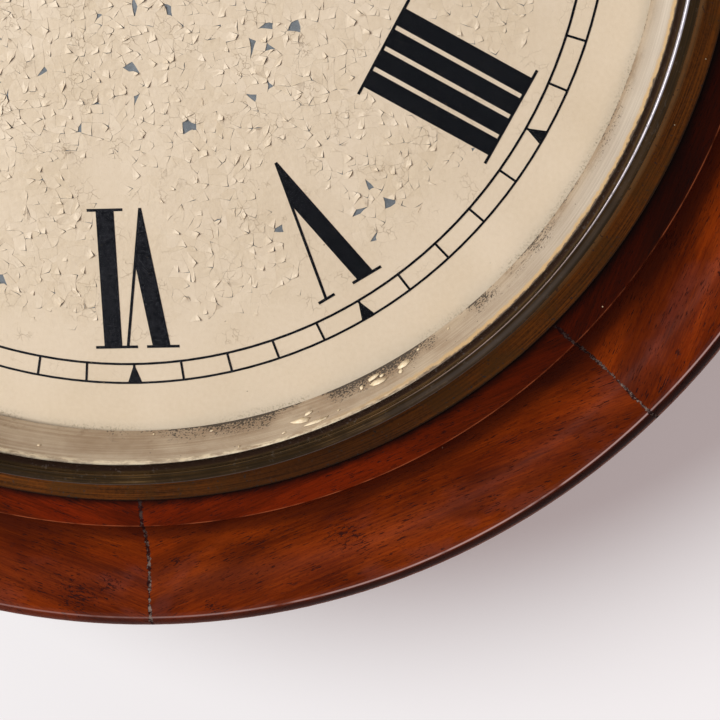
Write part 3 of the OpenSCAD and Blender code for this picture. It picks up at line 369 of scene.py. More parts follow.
def lifting(x, z):  # how freely the paint lifts here, 0 to about 1
    wave = noise.noise(Vector((x / hold["waves"], z / hold["waves"], 3.1)))
    free = max(0.0, min(1.0, (hold["freeUpTo"] - math.hypot(x, z)) / hold["freeOver"]))
    free *= max(hold["leastWave"], min(1.0, 0.88 + 0.7 * wave))
    patchX, patchZ = hold["patch"]
    held, soft = hold["patchWide"]
    free *= max(0.0, min(1.0, (math.hypot(x - patchX, z - patchZ) - held) / soft))
    hour = round(math.degrees(math.atan2(x, z)) / 30) % 12
    a = math.radians(30 * hour)
    across = x * math.cos(a) - z * math.sin(a)
    along = x * math.sin(a) + z * math.cos(a)
    low, high = hold["numerals"]
    if low < along < high and abs(across + numeralAside[hour]) < numeralHalf[hour] + hold["numeralMargin"]:
        free = min(free, hold["underInk"])
    return free


def brokenSheet(dice):  # a flat sheet whose grid is pushed about, then broken and joined into flakes
    sheet, circle = (flake["reach"] + spare for spare in flake["spare"])
    lines = int(2 * sheet / flake["cell"])
    bm = bmesh.new()
    bmesh.ops.create_grid(bm, x_segments=lines, y_segments=lines, size=sheet * mm)
    bmesh.ops.rotate(bm, verts=bm.verts[:], cent=(0, 0, 0), matrix=Matrix.Rotation(math.pi / 2, 3, "X"))
    bmesh.ops.translate(bm, verts=bm.verts[:], vec=(0, -flake["top"] * mm, 0))
    far = [v for v in bm.verts if v.co.xz.length > circle * mm]
    bmesh.ops.delete(bm, geom=far, context="VERTS")
    jump = flake["cell"] * flake["jitter"] * mm
    for v in bm.verts:
        v.co.x += dice.uniform(-jump, jump)
        v.co.z += dice.uniform(-jump, jump)
    bm.faces.ensure_lookup_table()
    halved = [face for face in bm.faces if dice.random() < flake["halved"]]
    bmesh.ops.triangulate(bm, faces=halved, quad_method="BEAUTY")
    taken = set()
    joined = []
    order = bm.faces[:]
    dice.shuffle(order)
    for face in order:  # pairs of neighbours become one flake
        if face in taken or dice.random() > flake["joined"]:
            continue
        near = [(edge, other) for edge in face.edges for other in edge.link_faces
                if other is not face and other not in taken]
        if near:
            edge, other = dice.choice(near)
            taken.update((face, other))
            joined.append(edge)
    bmesh.ops.dissolve_edges(bm, edges=joined, use_verts=False)
    for edge in bm.edges[:]:  # no edge runs straight
        middle = bmesh.utils.edge_split(edge, edge.verts[0], dice.uniform(*flake["bowed"]))[1]
        middle.co.x += dice.gauss(0, flake["ragged"]) * mm
        middle.co.z += dice.gauss(0, flake["ragged"]) * mm
    return bm


def loseFlakes(bm, dice):  # the chips, the hub's hole and what lies beyond the reach
    lost = []
    for chip in chips:
        at = Vector(chip) * mm
        lost.append(min(bm.faces, key=lambda face: (face.calc_center_median().xz - at).length
                        + face.calc_area() ** 0.5 * flake["smallFirst"]))
    for face in bm.faces:
        c = face.calc_center_median().xz.length
        if c < flake["hub"] * mm or c > (flake["reach"] + dice.uniform(*flake["uneven"])) * mm:
            lost.append(face)
    bmesh.ops.delete(bm, geom=list(set(lost)), context="FACES")


def loosenFlakes(bm, dice):  # each flake parts from the others and tilts; the ones that will curl come back
    bmesh.ops.split_edges(bm, edges=bm.edges[:])
    tone = bm.faces.layers.float.new("tone")
    curls = []
    for face in bm.faces:
        c = face.calc_center_median()
        free = lifting(c.x / mm, c.z / mm)
        face[tone] = dice.gauss(0, flake["tones"]) * min(1.0, free + 0.08)
        shrink = 1 - flake["gap"] * free * dice.random()
        lean = math.radians(flake["tilt"]) * free
        dx = dice.uniform(-lean, lean)
        dz = dice.uniform(-lean, lean)
        for v in face.verts:
            v.co = c + (v.co - c) * shrink
            v.co.y -= (v.co.x - c.x) * dx + (v.co.z - c.z) * dz
        if free > 0.12 and dice.random() < flake["curled"] * min(1.0, free + 0.25):
            curls.append((face, free))
    return curls


def curlCorners(bm, curls, dice):
    grown = bmesh.ops.extrude_discrete_faces(bm, faces=[face for face, free in curls])["faces"]
    low, high = flake["lift"]
    for free, face in zip((free for face, free in curls), grown):
        c = face.calc_center_median()
        inner = face.verts[:]
        outer = [next(edge.other_vert(v) for edge in v.link_edges if edge.other_vert(v) not in inner)
                 for v in inner]
        pull = dice.uniform(*flake["flatPart"])
        for v in inner:
            v.co = c + (v.co - c) * pull
        corner = dice.randrange(len(outer))
        if dice.random() < flake["shaded"]:
            corner = max(range(len(outer)), key=lambda i: outer[i].co.x * 0.85 - outer[i].co.z * 0.5)
        rise = (low + (high - low) * dice.random() ** 2.4) * min(1.0, free + 0.1) * mm
        bend = dice.uniform(*flake["bend"]) * mm
        tip = outer[corner].co.copy()
        for v in outer + inner:
            share = max(0.0, 1 - (v.co - tip).length / bend) ** 1.4
            v.co += (c - v.co) * Vector((1, 0, 1)) * 0.10 * share
            v.co.y -= rise * share


def paintFlakes(finish):
    dice = random.Random(flake["seed"])
    bm = brokenSheet(dice)
    loseFlakes(bm, dice)
    curlCorners(bm, loosenFlakes(bm, dice), dice)
    for east in (0, 1):  # four pieces, so that none is too large
        for north in (0, 1):
            part = bm.copy()
            away = [f for f in part.faces if (f.calc_center_median().x > 0) != bool(east)
                    or (f.calc_center_median().z > 0) != bool(north)]
            bmesh.ops.delete(part, geom=away, context="FACES")
            name = "paintFlakes" + ("North" if north else "South") + ("East" if east else "West")
            piece = asPiece(name, part, "case", finish, ("dial_paint",), sharp=0)
            shell = piece.modifiers.new("thickness", "SOLIDIFY")
            shell.thickness = flake["thick"] * mm
            shell.offset = -1
    bm.free()


def plainCoat(name, inside, outside, slope, steps):  # unbroken paint between two radii
    section = [(inside, paint["foot"]), (inside + 0.1, paint["face"]),
               (outside, paint["face"]), (outside + slope, paint["foot"])]
    asPiece(name, spun(section, steps), "case", creamPaint, ("dial_paint",))


creamPaint = paintFinish()
paintFlakes(creamPaint)
plainCoat("paintMargin", flake["ringFrom"], 157.8, 0.0, 180)
plainCoat("paintHub", 7.1, 9.6, 0.2, 48)
print("dial painted")


# sight ring
slip = {
    "pale": tint(190, 174, 152),
    "worn": tint(150, 128, 104),
    "brown": tint(122, 98, 72),
    "soot": tint(44, 35, 27),
    "edge": tint(230, 216, 186),
    "lit": tint(194, 186, 174),
    "gleam": tint(226, 218, 206),
    "goldWearAndGlint": tint(200, 168, 120),
    "giltDark": tint(74, 54, 40),
    "foot": 84.0,  # mm before the wall
    "footRadius": 149.3,
    "run": 5.45,  # how far the slope goes outwards
    "rise": 14.13,  # and forwards
    "fallenTints": (tint(236, 220, 190), tint(216, 196, 160)),
    "fallenThick": 0.16,
    "fallenSeed": 5,
}


def silveredFinish():
    made, shader, place = newMaterial("silveredBrass")
    r, depth = radius(place)
    x, y, z = place.split()
    ringed = place.add("CombineXYZ", {}, {0: x * 22.0, 1: r * 3600.0, 2: z * 22.0})
    streak = ringed.cloud(3, 0.6)
    cloudy = place.grain(13).cloud(4, 0.6)
    height = depth * -1000.0 - slip["foot"]  # mm above it
    colour = (streak * 0.75 + cloudy * 0.75).step(0.45, 1.05).blend(slip["worn"], slip["pale"])
    stain = place.grain(5, shift=(3, 1, 8)).cloud(5, 0.7).step(0.52, 0.70)
    colour = (stain * 0.5 * height.step(11.0, 2.0)).blend(colour, slip["brown"])
    patch = place.grain(16).cloud(3).step(0.34, 0.58)
    where = (height.step(9.5, 0.0) * 0.55 + height.step(1.6, 0.0) * 0.8) * patch * x.step(-0.03, 0.05)
    where = where * (z - x * 0.55).step(-0.105, -0.14) * (x.step(0.145, 0.105) * 0.7 + 0.3)
    grit = place.grain(0.62).cloud(2, 0.6)
    dusty = (grit + where * 0.46).step(0.64, 0.71) * where.step(0.02, 0.12)
    crust = place.grain(1.0).cloud(4, 0.75).step(0.50, 0.60) * height.step(1.4, 0.2)
    dusty = dusty.most(crust * patch * x.step(0.0, 0.05) * 0.8)
    dim = patch * height.step(11.0, 3.0) * x.step(-0.01, 0.04) * x.step(0.125, 0.085)
    colour = (dim * 0.42).blend(colour, slip["brown"])
    lit = x.step(0.075, 0.145) * height.step(0.5, 6.0)
    colour = (lit * 0.6).blend(colour, slip["lit"])
    gleam = height.band(8.0, 11.4, 2.0) * streak.step(0.35, 0.7) * x.step(0.100, 0.145)
    colour = (gleam * 0.5).blend(colour, slip["gleam"])
    frayed = height + place.grain(2.6).cloud(4, 0.7) * 3.2 + cloudy * 1.6
    goldEdge = frayed.step(14.0, 15.2) * x.step(0.04, 0.10)
    giltTone = frayed.step(15.7, 16.5).blend(slip["goldWearAndGlint"], slip["giltDark"])
    colour = (goldEdge * 0.9).blend(colour, giltTone)
    colour = (dusty * 0.92).blend(colour, slip["soot"])
    colour = speckles(place, 3.0, 0.25, 0.07).blend(colour, slip["soot"])
    glints = place.grain((4, 1.5, 4)).cloud(4, 0.7).step(0.40, 0.60)
    bright = height.step(12.6, 13.5) * glints * (1 - goldEdge)
    colour = (bright * 0.8).blend(colour, slip["edge"])
    feed(shader, Base_Color=colour, Roughness=streak * 0.22 + cloudy * 0.15 + 0.32 + dusty * 0.3,
         Metallic=0.30 - dusty * 0.3 - bright * 0.2,
         Normal=(streak * 0.6 + dusty * 0.9).bump(0.035))
    return made


silver = silveredFinish()
ringShape = [(slip["footRadius"], 84.25), (149.85, slip["foot"]), (155.3, 97.8), (157.8, 97.8),
             (157.8, 98.38), (154.75, 98.38)]
sightRing = spun(ringShape, 200, soften=0.12)
asPiece("sightRing", sightRing, "bezel", silver, ("sight_ring",))


# paint flakes that have fallen on the sight ring: clock angle, height over its foot, length, width, turn
fallen = [
    (152.74, 3.4, 4.4, 2.4, 20), (152.24, 6.6, 5.4, 3.2, -10), (151.7, 4.4, 1.9, 1.3, 40),
    (148.98, 4.9, 4.6, 2.6, 12), (149.6, 7.2, 2.2, 1.5, 70), (161.37, 8.9, 6.4, 2.9, -15),
    (159.7, 11.4, 7.2, 1.8, 6), (160.47, 6.6, 2.6, 1.6, 33), (154.2, 5.2, 2.3, 1.5, 80),
    (146.99, 2.6, 1.2, 0.8, 10), (143.0, 2.9, 0.9, 0.7, 55), (157.2, 10.4, 1.0, 0.7, 25),
    (163.4, 11.6, 1.5, 0.6, 15), (168.33, 12.4, 1.1, 0.6, 60), (171.5, 3.4, 1.2, 0.6, 5),
    (178.0, 2.2, 1.0, 0.6, 75), (190.0, 9.5, 1.4, 0.8, 20), (204.0, 5.0, 2.0, 1.0, 45),
]


def fallenFinish():
    made, shader, place = newMaterial("fallenPaint", Roughness=0.5)
    fine = place.grain(1.1).cloud(3)
    feed(shader, Base_Color=fine.step(0.3, 0.7).blend(*slip["fallenTints"]), Normal=fine.bump(0.06))
    return made


def fallenFlakes():
    dice = random.Random(slip["fallenSeed"])
    lean = math.atan2(slip["run"], slip["rise"])
    bm = bmesh.new()
    for clock, height, length, width, turn in fallen:
        made = bmesh.ops.create_circle(bm, cap_ends=True, segments=dice.choice((6, 7, 8)), radius=0.5)
        for v in made["verts"]:
            v.co.x *= length * dice.uniform(0.62, 1.15) * mm
            v.co.y *= width * dice.uniform(0.62, 1.15) * mm
            v.co.z = dice.uniform(0.0, 0.12) * mm
        a = math.radians(clock)
        r = slip["footRadius"] + (height - 0.25) * slip["run"] / slip["rise"]
        outward = Vector((math.sin(a), 0, math.cos(a)))
        around = Vector((math.cos(a), 0, -math.sin(a)))
        upward = outward * math.sin(lean) + Vector((0, -1, 0)) * math.cos(lean)
        normal = -outward * math.cos(lean) + Vector((0, -1, 0)) * math.sin(lean)
        seat = Matrix((around, upward, normal)).transposed() @ Matrix.Rotation(math.radians(turn), 3, "Z")
        at = outward * r * mm + Vector((0, -(slip["foot"] + height) * mm, 0)) + normal * 0.12 * mm
        for v in made["verts"]:
            v.co = seat @ v.co + at
    bmesh.ops.recalc_face_normals(bm, faces=bm.faces[:])
    piece = asPiece("fallenFlakes", bm, "bezel", fallenFinish())
    shell = piece.modifiers.new("thickness", "SOLIDIFY")
    shell.thickness = slip["fallenThick"] * mm
    shell.offset = 0


fallenFlakes()
print("sight ring made")


# bezel
bezel = {
    "flangeDark": tint(42, 20, 5),
    "flangeBrown": tint(104, 55, 11),
    "flangeOlive": tint(68, 42, 13),
    "gold": tint(196, 140, 58),
    "crown": tint(38, 27, 12),
    "crownWorn": tint(68, 47, 22),
    "beadHighlight": tint(196, 190, 198),
    "beadHighlightFaint": tint(92, 78, 74),
    "crownSheen": tint(96, 86, 80),
    "rust": tint(34, 20, 11),
    "black": tint(18, 13, 9),
    "coveHighlight": tint(150, 112, 72),
    "goldWearAndGlint": tint(150, 116, 70),
    "glint": tint(205, 190, 160),
}


def tarnishedFinish():
    made, shader, place = newMaterial("tarnishedBrass")
    x, y, z = place.split()
    r, depth = radius(place)
    rm = r * 1000.0
    ahead = depth * -1000.0
    streak = place.add("CombineXYZ", {}, {0: x * 34.0, 1: r * 2100.0, 2: z * 34.0}).cloud(4, 0.65)
    cloudy = place.grain(11).cloud(4, 0.6)
    small = place.grain(1.2).cloud(4, 0.7)
    # the flange: brown streaks, worn to gold, a painted black shadow at its edge, with pits
    flange = (streak * 1.1 + small * 0.45).step(0.52, 0.98).blend(bezel["flangeDark"], bezel["flangeBrown"])
    flange = (cloudy.step(0.45, 0.65) * 0.6).blend(flange, bezel["flangeOlive"])
    flange = (x.band(0.020, 0.085, 0.03) * 0.6).blend(flange, bezel["flangeDark"])
    edgeWorn = (rm + small * 2.4 + cloudy * 3.4).step(170.9, 171.8) * streak.step(0.45, 0.6)
    flange = (edgeWorn * 0.45).blend(flange, bezel["gold"])
    # painted shadow: black along the flange's outer edge
    flangeEdgeShadow = (rm + small * 1.4).step(168.1, 168.9)
    flange = (flangeEdgeShadow * 0.9).blend(flange, bezel["black"])
    # painted highlight: a tan line in the cove at the crown's foot, towards the right
    coveHighlight = rm.band(160.9, 162.5, 0.8) * (x - z * 0.25).step(0.120, 0.175) * (cloudy * 0.7 + 0.3)
    flange = (coveHighlight * 0.75).blend(flange, bezel["coveHighlight"])
    pits = small.step(0.58, 0.66) * cloudy.step(0.36, 0.56)
    flange = (pits * 0.8).blend(flange, bezel["black"])
    # the crown: a painted grey sheen and painted gold glints, painted highlights on the bead at its top and
    # on its outer shoulder, rust inside
    crown = (streak * 0.8 + cloudy * 0.5).step(0.5, 0.95).blend(bezel["crown"], bezel["crownWorn"])
    # painted highlight: a pale line along the bead, wider and brighter towards the right, and a thin one on
    # the outer shoulder towards the left
    reach = x.step(0.118, 0.158)
    beadHighlight = ((rm - 156.55).size() - reach * 0.30 - 0.12).step(0.12, -0.04) * x.step(0.06, 0.11)
    beadHighlight = beadHighlight * ahead.step(102.5, 102.9) * (cloudy * 0.3 + 0.7)
    shoulderHighlight = rm.band(159.45, 159.9, 0.08) * ahead.step(101.6, 102.2)
    beadHighlight = beadHighlight.most(shoulderHighlight * (small * 0.5 + 0.3) * x.step(0.125, 0.075))
    # painted reflection: a soft grey sheen across the crown, right of the middle
    sheenOnCrown = rm.band(157.6, 159.0, 0.5) * x.band(0.078, 0.132, 0.03) * (cloudy * 0.6 + 0.4)
    crown = (sheenOnCrown * 0.6).blend(crown, bezel["crownSheen"])
    crown = beadHighlight.blend(crown, reach.blend(bezel["beadHighlightFaint"], bezel["beadHighlight"]))
    # painted reflection: gold glints on the crown towards the left
    goldGlints = cloudy.step(0.50, 0.68) * streak.step(0.5, 0.65) * rm.band(156.9, 159.2, 0.3)
    goldGlints = goldGlints * x.step(0.135, 0.085)
    crown = (goldGlints * 0.3).blend(crown, bezel["goldWearAndGlint"])
    crown = rm.step(155.9, 155.3).blend(crown, bezel["rust"])
    onFlange = ahead.step(92.6, 91.8)
    colour = onFlange.blend(crown, flange)
    colour = (speckles(place, 4.0, 0.16, 0.05) * 0.8).blend(colour, bezel["glint"])
    feed(shader, Base_Color=colour, Roughness=0.36 + streak * 0.16 + onFlange * 0.14 + pits * 0.2,
         Metallic=0.92 - pits * 0.5 - onFlange * 0.02,
         Normal=(streak * 0.5 + small * 0.25 - pits * 0.7).bump(0.045))
    return made


tarnished = tarnishedFinish()
bezelShape = ([(158.0, 90.1), (168.0, 90.1), (168.2, 90.35), (168.15, 91.05), (167.9, 91.3)]
              + [(163.0, 91.28), (160.9, 91.34)] + arc(160.75, 92.25, 0.95, 265, 190, 5)
              + [(159.8, 95.0), (159.8, 100.5)] + arc(159.35, 102.1, 0.45, 0, 70, 4)
              + [(158.9, 102.78), (158.3, 103.1), (157.7, 103.28), (157.2, 103.36), (156.95, 103.42)]
              + arc(156.62, 103.35, 0.33, 10, 170, 7)
              + [(156.2, 103.2), (155.8, 102.9), (155.3, 102.45), (154.8, 101.95), (154.45, 101.45),
                 (154.3, 101.0), (156.4, 101.0), (156.4, 98.4), (158.0, 98.4)])
bezelRing = spun(bezelShape, 220)
asPiece("bezelRing", bezelRing, "bezel", tarnished, ("bezel_ring",), sharp=50)


glazing = {
    "polish": 0.03,
    "index": 1.35,
    "shine": 0.06,
    "smear": 0.08,
}


def glassFinish():
    made, shader, place = newMaterial("clearGlass")
    tree = made.node_tree
    clear = tree.nodes.new("ShaderNodeBsdfTransparent")
    gloss = tree.nodes.new("ShaderNodeBsdfGlossy")
    gloss.inputs["Roughness"].default_value = glazing["polish"]
    facing = place.add("Fresnel", {}, {"IOR": glazing["index"]})
    smear = place.grain(24).cloud(3).step(0.4, 0.8)
    both = facing.add("MixShader", {}, {0: facing * (smear * glazing["smear"] + glazing["shine"])})
    mixer = both.socket.node
    tree.links.new(clear.outputs[0], mixer.inputs[1])
    tree.links.new(gloss.outputs[0], mixer.inputs[2])
    tree.links.new(both.socket, tree.nodes["Material Output"].inputs["Surface"])
    return made


print("bezel made")


# mahogany surround
wood = {
    "deep": tint(54, 14, 4),
    "body": tint(118, 40, 6),
    "light": tint(166, 75, 13),
    "red": tint(110, 27, 6),
    "pore": tint(30, 12, 14),
    "sheen": tint(104, 52, 44),
    "joint": tint(126, 112, 104),
    "shadowGap": tint(14, 5, 4),
    "cornerWearAndHighlight": tint(176, 96, 60),
    "arrisHighlight": tint(216, 186, 182),
    "lipWorn": tint(140, 76, 44),
    "dust": tint(206, 182, 150),
    "roughness": 0.42,
    "segments": 8,  # as many as the CAD has
    "offset": -0.25,  # degrees by which the first joint misses XII
    # place and reach of the bruises in mm
    "bruises": ((-21.0, -200.0, 7.0), (-11.0, -197.0, 4.0), (19.0, -203.0, 3.0), (9.0, -190.0, 3.0),
                (60.0, -182.0, 6.0), (168.0, -103.0, 5.0), (152.0, -96.0, 4.0), (176.0, -80.0, 5.0)),
}


def mahoganyFinish(index):
    made, shader, place = newMaterial("mahogany%d" % index, Coat_Roughness=0.2, Specular_IOR_Level=0.03)
    share = 360 / wood["segments"]
    turn = math.radians((index - 0.5) * share + wood["offset"])  # the grain runs along each segment
    shift = (17.0 * index, 5.0 * index, 9.0 * index)  # and is another cut of wood in each
    x, y, z = place.split()
    rm = radius(place)[0] * 1000.0
    figure = place.grain((80, 40, 6), turn, shift).cloud(4, 0.6, 0.3)
    fibre = place.grain((14, 4, 0.55), turn, shift).cloud(5, 0.7)
    ribbon = place.grain((60, 60, 22), turn, shift).cloud(3, 0.5, 0.3)
    dash = place.grain((3.0, 0.8, 0.32), turn, shift).cloud(2, 0.5).step(0.61, 0.67)
    dashes = dash * place.grain((12, 6, 6), turn, shift).cloud(2).step(0.36, 0.52)
    colour = (figure * 0.6 + fibre * 0.3 + ribbon * 0.7).step(0.45, 1.05)
    colour = colour.blend(wood["deep"], wood["body"])
    colour = ((fibre * 0.7 + ribbon * 0.7 - 0.2).step(0.35, 0.8) * 0.36).blend(colour, wood["light"])
    reds = (fibre * 0.6 + figure * 0.6).step(0.4, 0.8).blend(wood["deep"], wood["red"])
    colour = (rm.step(179.0, 176.0) * 0.7).blend(colour, reds)
    shade = place.grain((46, 30, 15), turn, shift).cloud(4, 0.6).step(0.47, 0.66)
    colour = (shade * 0.55).blend(colour, wood["deep"])
    violet = place.grain((22, 12, 12), turn, shift).cloud(3, 0.6).step(0.52, 0.70)
    colour = (violet * 0.30 * rm.step(180.0, 194.0)).blend(colour, wood["sheen"])
    speck = place.grain((1.6, 0.7, 0.5), turn, shift).cloud(3, 0.6)
    for bruiseX, bruiseZ, size in wood["bruises"]:
        far = ((x - bruiseX * mm) ** 2.0 + (z - bruiseZ * mm) ** 2.0) ** 0.5 * 1000.0
        dashes = dashes.most((speck - far * (0.16 / size)).step(0.46, 0.53))
    colour = (dashes * 0.85).blend(colour, wood["pore"])
    pores = place.grain((1.5, 0.6, 0.3), turn, shift).cloud(3, 0.6).step(0.54, 0.66)
    colour = (pores * 0.45).blend(colour, wood["deep"])
    colour = (rm.band(177.2, 182.5, 1.6) * 0.55).blend(colour, wood["deep"])  # painted shade in the hollow
    # painted shadow: the band and hollow darker on the right, where the bezel's shadow falls
    shadeOnRight = rm.step(190.0, 179.0) * 0.35 + rm.step(178.0, 175.5) * 0.5
    shadeOnRight = shadeOnRight * (x - z * 0.3).step(0.115, 0.185)
    colour = shadeOnRight.blend(colour, wood["shadowGap"])
    # painted shadow and soot: near black on the ledge beside the flange
    ledgeShadeAndSoot = (rm + place.grain(5).cloud(4, 0.7) * 2.4).step(172.6, 169.4) * 0.93
    colour = ledgeShadeAndSoot.blend(colour, wood["shadowGap"])
    # wear and a painted highlight: a paler line along the inner arris
    cornerWearAndHighlight = rm.band(176.35, 176.8, 0.1) * place.grain(9).cloud(3).step(0.36, 0.6)
    colour = (cornerWearAndHighlight * 0.55).blend(colour, wood["cornerWearAndHighlight"])
    # painted highlight: a pale pink line along the outer arris, stronger towards the right
    arrisHighlight = rm.band(206.0, 206.5, 0.16) * place.grain(14).cloud(3).step(0.28, 0.48)
    colour = (arrisHighlight * (x.step(-0.02, 0.10) * 0.36 + 0.20)).blend(colour, wood["arrisHighlight"])
    # painted shade: the strip outside the arris darker, most on the right
    rimStripShade = rm.band(206.95, 209.3, 0.3) * (x.step(-0.04, 0.08) * 0.6 + 0.22)
    colour = rimStripShade.blend(colour, wood["shadowGap"])
    lipWorn = rm.band(209.4, 210.5, 0.3) * place.grain(6).cloud(3).step(0.30, 0.55)
    colour = (lipWorn * 0.75).blend(colour, wood["lipWorn"])
    dents = place.grain((9, 4, 4), turn, shift).cloud(4, 0.7).step(0.69, 0.74)
    colour = (dents * 0.75).blend(colour, wood["pore"])
    colour = speckles(place, 8, 0.2, 0.030, 2.0 * index).blend(colour, wood["dust"])
    # the joints at both ends, crumbling and filled with chalky dirt
    u, y, v = place.grain(1000, turn).split()  # metres across and along the segment's middle line
    wobble = place.grain(4.5).cloud(5, 0.75)
    crumb = place.grain(1.3).cloud(4, 0.8)
    halfTurn = math.radians(share / 2)
    away = (v * math.sin(halfTurn) - u.size() * math.cos(halfTurn)) * 1000.0
    seam = (away + wobble * 1.5 - 0.75 + crumb * 2.4 - 1.2).step(0.52, 0.34)
    chalk = place.grain(1.7, shift=(3, 5, 1)).cloud(4, 0.8).step(0.44, 0.60)
    grey = (chalk * (rm * 0.02 - 3.15).step(0.0, 1.0)).blend(wood["pore"], wood["joint"])
    colour = (seam * 0.92).blend(colour, grey)
    height = fibre * 0.35 + figure * 0.3 - dashes * 0.9 - dents * 1.2 - seam * (crumb * 1.5 + 1.6)
    feed(shader, Base_Color=colour,
         Roughness=fibre * 0.16 + wood["roughness"] - 0.06 + seam * 0.35 + dashes * 0.2 + violet * 0.05,
         Coat_Weight=rm.band(205.0, 206.4, 0.4) * 0.2 * (1 - seam), Normal=height.bump(0.05))
    return made


moulding = {  # the surround's section in mm: radius, and depth before the wall
    "low": (188.96, 82.9),  # deepest point of the hollow
    "hollow": 16.81,  # its radius
    "hollowEnd": 11.66,  # how far it goes in towards the ledge
    "swell": 32.41,
    "turnover": 21.0,  # degrees at which hollow becomes swell
    "crest": 206.3,
    "rim": 210.6,
}


def surroundShape():
    lowR, lowD = moulding["low"]
    hollow, swell = moulding["hollow"], moulding["swell"]
    last, rim = moulding["turnover"], moulding["rim"]
    top = lowD + (hollow + swell) * (1 - math.cos(math.radians(last)))
    shape = [(158.6, 80.8), (180.3, 80.8), (180.3, 72.0), (210.3, 72.0), (rim, 72.3)]
    for i in range(9):  # rounded outer edge
        t = i / 8
        bow = 2.8 * t * (1 - t)
        shape.append((rim - 3.8 * t + 0.8 * bow, top - 5.2 + 5.05 * t + 0.6 * bow))
    shape += [(206.62, top + 0.02), (206.4, top + 0.12), (206.1, top + 0.12)]
    for i in range(1, 12):  # swell
        a = math.radians(last * i / 12)
        shape.append((moulding["crest"] - (swell - 1) * math.sin(a),
                      top + 0.22 - swell * (1 - math.cos(a))))
    start = math.degrees(math.asin(moulding["hollowEnd"] / hollow))
    for i in range(23):  # hollow
        a = math.radians(last - (last + start) * i / 22)
        shape.append((lowR + hollow * math.sin(a), lowD + hollow * (1 - math.cos(a))))
    shape += [(176.80, 89.15), (176.62, 89.48), (176.3, 89.6), (167.2, 89.98), (158.6, 89.98)]
    return shape


sweep = 360 / wood["segments"]
for index in range(1, wood["segments"] + 1):
    segment = spun(surroundShape(), 28, (index - 1) * sweep + wood["offset"], sweep)
    asPiece("surroundSegment%d" % index, segment, "case", mahoganyFinish(index),
            ("surround_segment_%d" % index,), sharp=26)
print("surround made")


# finishes of the pieces that keep their CAD shape
pine = {
    "deep": tint(88, 54, 28),
    "pale": tint(140, 96, 54),
    "old": tint(74, 50, 32),
    "scuff": tint(48, 32, 20),
}


def boardFinish(name, upright):
    made, shader, place = newMaterial(name, Specular_IOR_Level=0.3)
    rings = place.grain((5.5, 5.0, 150) if upright else (150, 5.0, 5.5)).cloud(3, 0.5, 0.8)
    fibre = place.grain((0.5, 0.5, 17) if upright else (17, 0.5, 0.5)).cloud(4, 0.6)
    old = place.grain(60).cloud(3)
    colour = (rings * 0.9 + fibre * 0.4).step(0.4, 1.0).blend(pine["deep"], pine["pale"])
    colour = (old.step(0.45, 0.7) * 0.5).blend(colour, pine["old"])
    scuffs = place.grain(2.2).cloud(4, 0.7).step(0.68, 0.75)
    colour = (scuffs * 0.5).blend(colour, pine["scuff"])
    feed(shader, Base_Color=colour, Roughness=fibre * 0.25 + 0.5,
         Normal=(fibre * 0.6 + rings * 0.6 - scuffs * 0.7).bump(0.08))
    return made


def metalFinish(name, dark, pale, tarnish, roughness, metallic=0.95):
    made, shader, place = newMaterial(name)
    brushed = place.grain((0.25, 4, 4)).cloud(4, 0.6)
    cloudy = place.grain(7).cloud(5, 0.65)
    spots = place.grain(0.9).cloud(3, 0.7).step(0.66, 0.74)
    colour = (brushed * 0.5 + cloudy * 0.8).step(0.4, 0.95).blend(dark, pale)
    colour = (spots * 0.6 + cloudy.step(0.60, 0.75) * 0.4).blend(colour, tarnish)
    feed(shader, Base_Color=colour, Roughness=roughness + cloudy * 0.2 + spots * 0.2 - 0.08,
         Metallic=metallic - spots * 0.3, Normal=(brushed * 0.4 - spots * 0.6).bump(0.02))
    return made


movement = {
    "blue": (tint(14, 17, 32), tint(30, 37, 68)),
    "rust": tint(64, 44, 34),
    "moulded": (tint(26, 19, 17), tint(46, 34, 29)),
    "dust": tint(92, 82, 70),
    "silk": (tint(30, 62, 34), tint(78, 112, 62)),
    "silkGap": tint(14, 26, 14),
    "wire": 0.55,  # mm from one turn of the winding to the next
}


def bluedFinish():
    made, shader, place = newMaterial("bluedSteel")
    cloudy = place.grain(9).cloud(4, 0.6)
    rust = place.grain(1.1).cloud(4, 0.7).step(0.66, 0.74)
    colour = cloudy.step(0.35, 0.7).blend(*movement["blue"])
    colour = (rust * 0.6).blend(colour, movement["rust"])
    feed(shader, Base_Color=colour, Roughness=0.28 + cloudy * 0.12 + rust * 0.3,
         Metallic=0.85 - rust * 0.6, Normal=(cloudy * 0.2 + rust * 0.5).bump(0.02))
    return made


def mouldedFinish():
    made, shader, place = newMaterial("mouldedBlack", Specular_IOR_Level=0.5)
    fine = place.grain(0.7).cloud(4, 0.6)
    dusty = place.grain(8).cloud(4, 0.65).step(0.5, 0.75)
    colour = fine.step(0.3, 0.8).blend(*movement["moulded"])
    colour = (dusty * 0.3).blend(colour, movement["dust"])
    feed(shader, Base_Color=colour, Roughness=0.32 + fine * 0.15 + dusty * 0.25, Normal=fine.bump(0.02))
    return made


def windingFinish():
    made, shader, place = newMaterial("silkWire", Specular_IOR_Level=0.35)
    turns = place.split()[2] * (2 * math.pi / (movement["wire"] * mm))
    turnHeight = turns.add("Math", {"operation": "SINE"}, {0: turns})
    twist = place.grain((0.5, 0.5, 0.12)).cloud(3, 0.6)
    faded = place.grain(9).cloud(3, 0.6)
    colour = (faded * 0.8 + twist * 0.4).step(0.35, 0.9).blend(*movement["silk"])
    colour = (turnHeight.step(-0.2, -0.9) * 0.7).blend(colour, movement["silkGap"])
    feed(shader, Base_Color=colour, Roughness=0.55 + twist * 0.2,
         Normal=(turnHeight * 0.7 + twist * 0.5).bump(0.12))
    return made


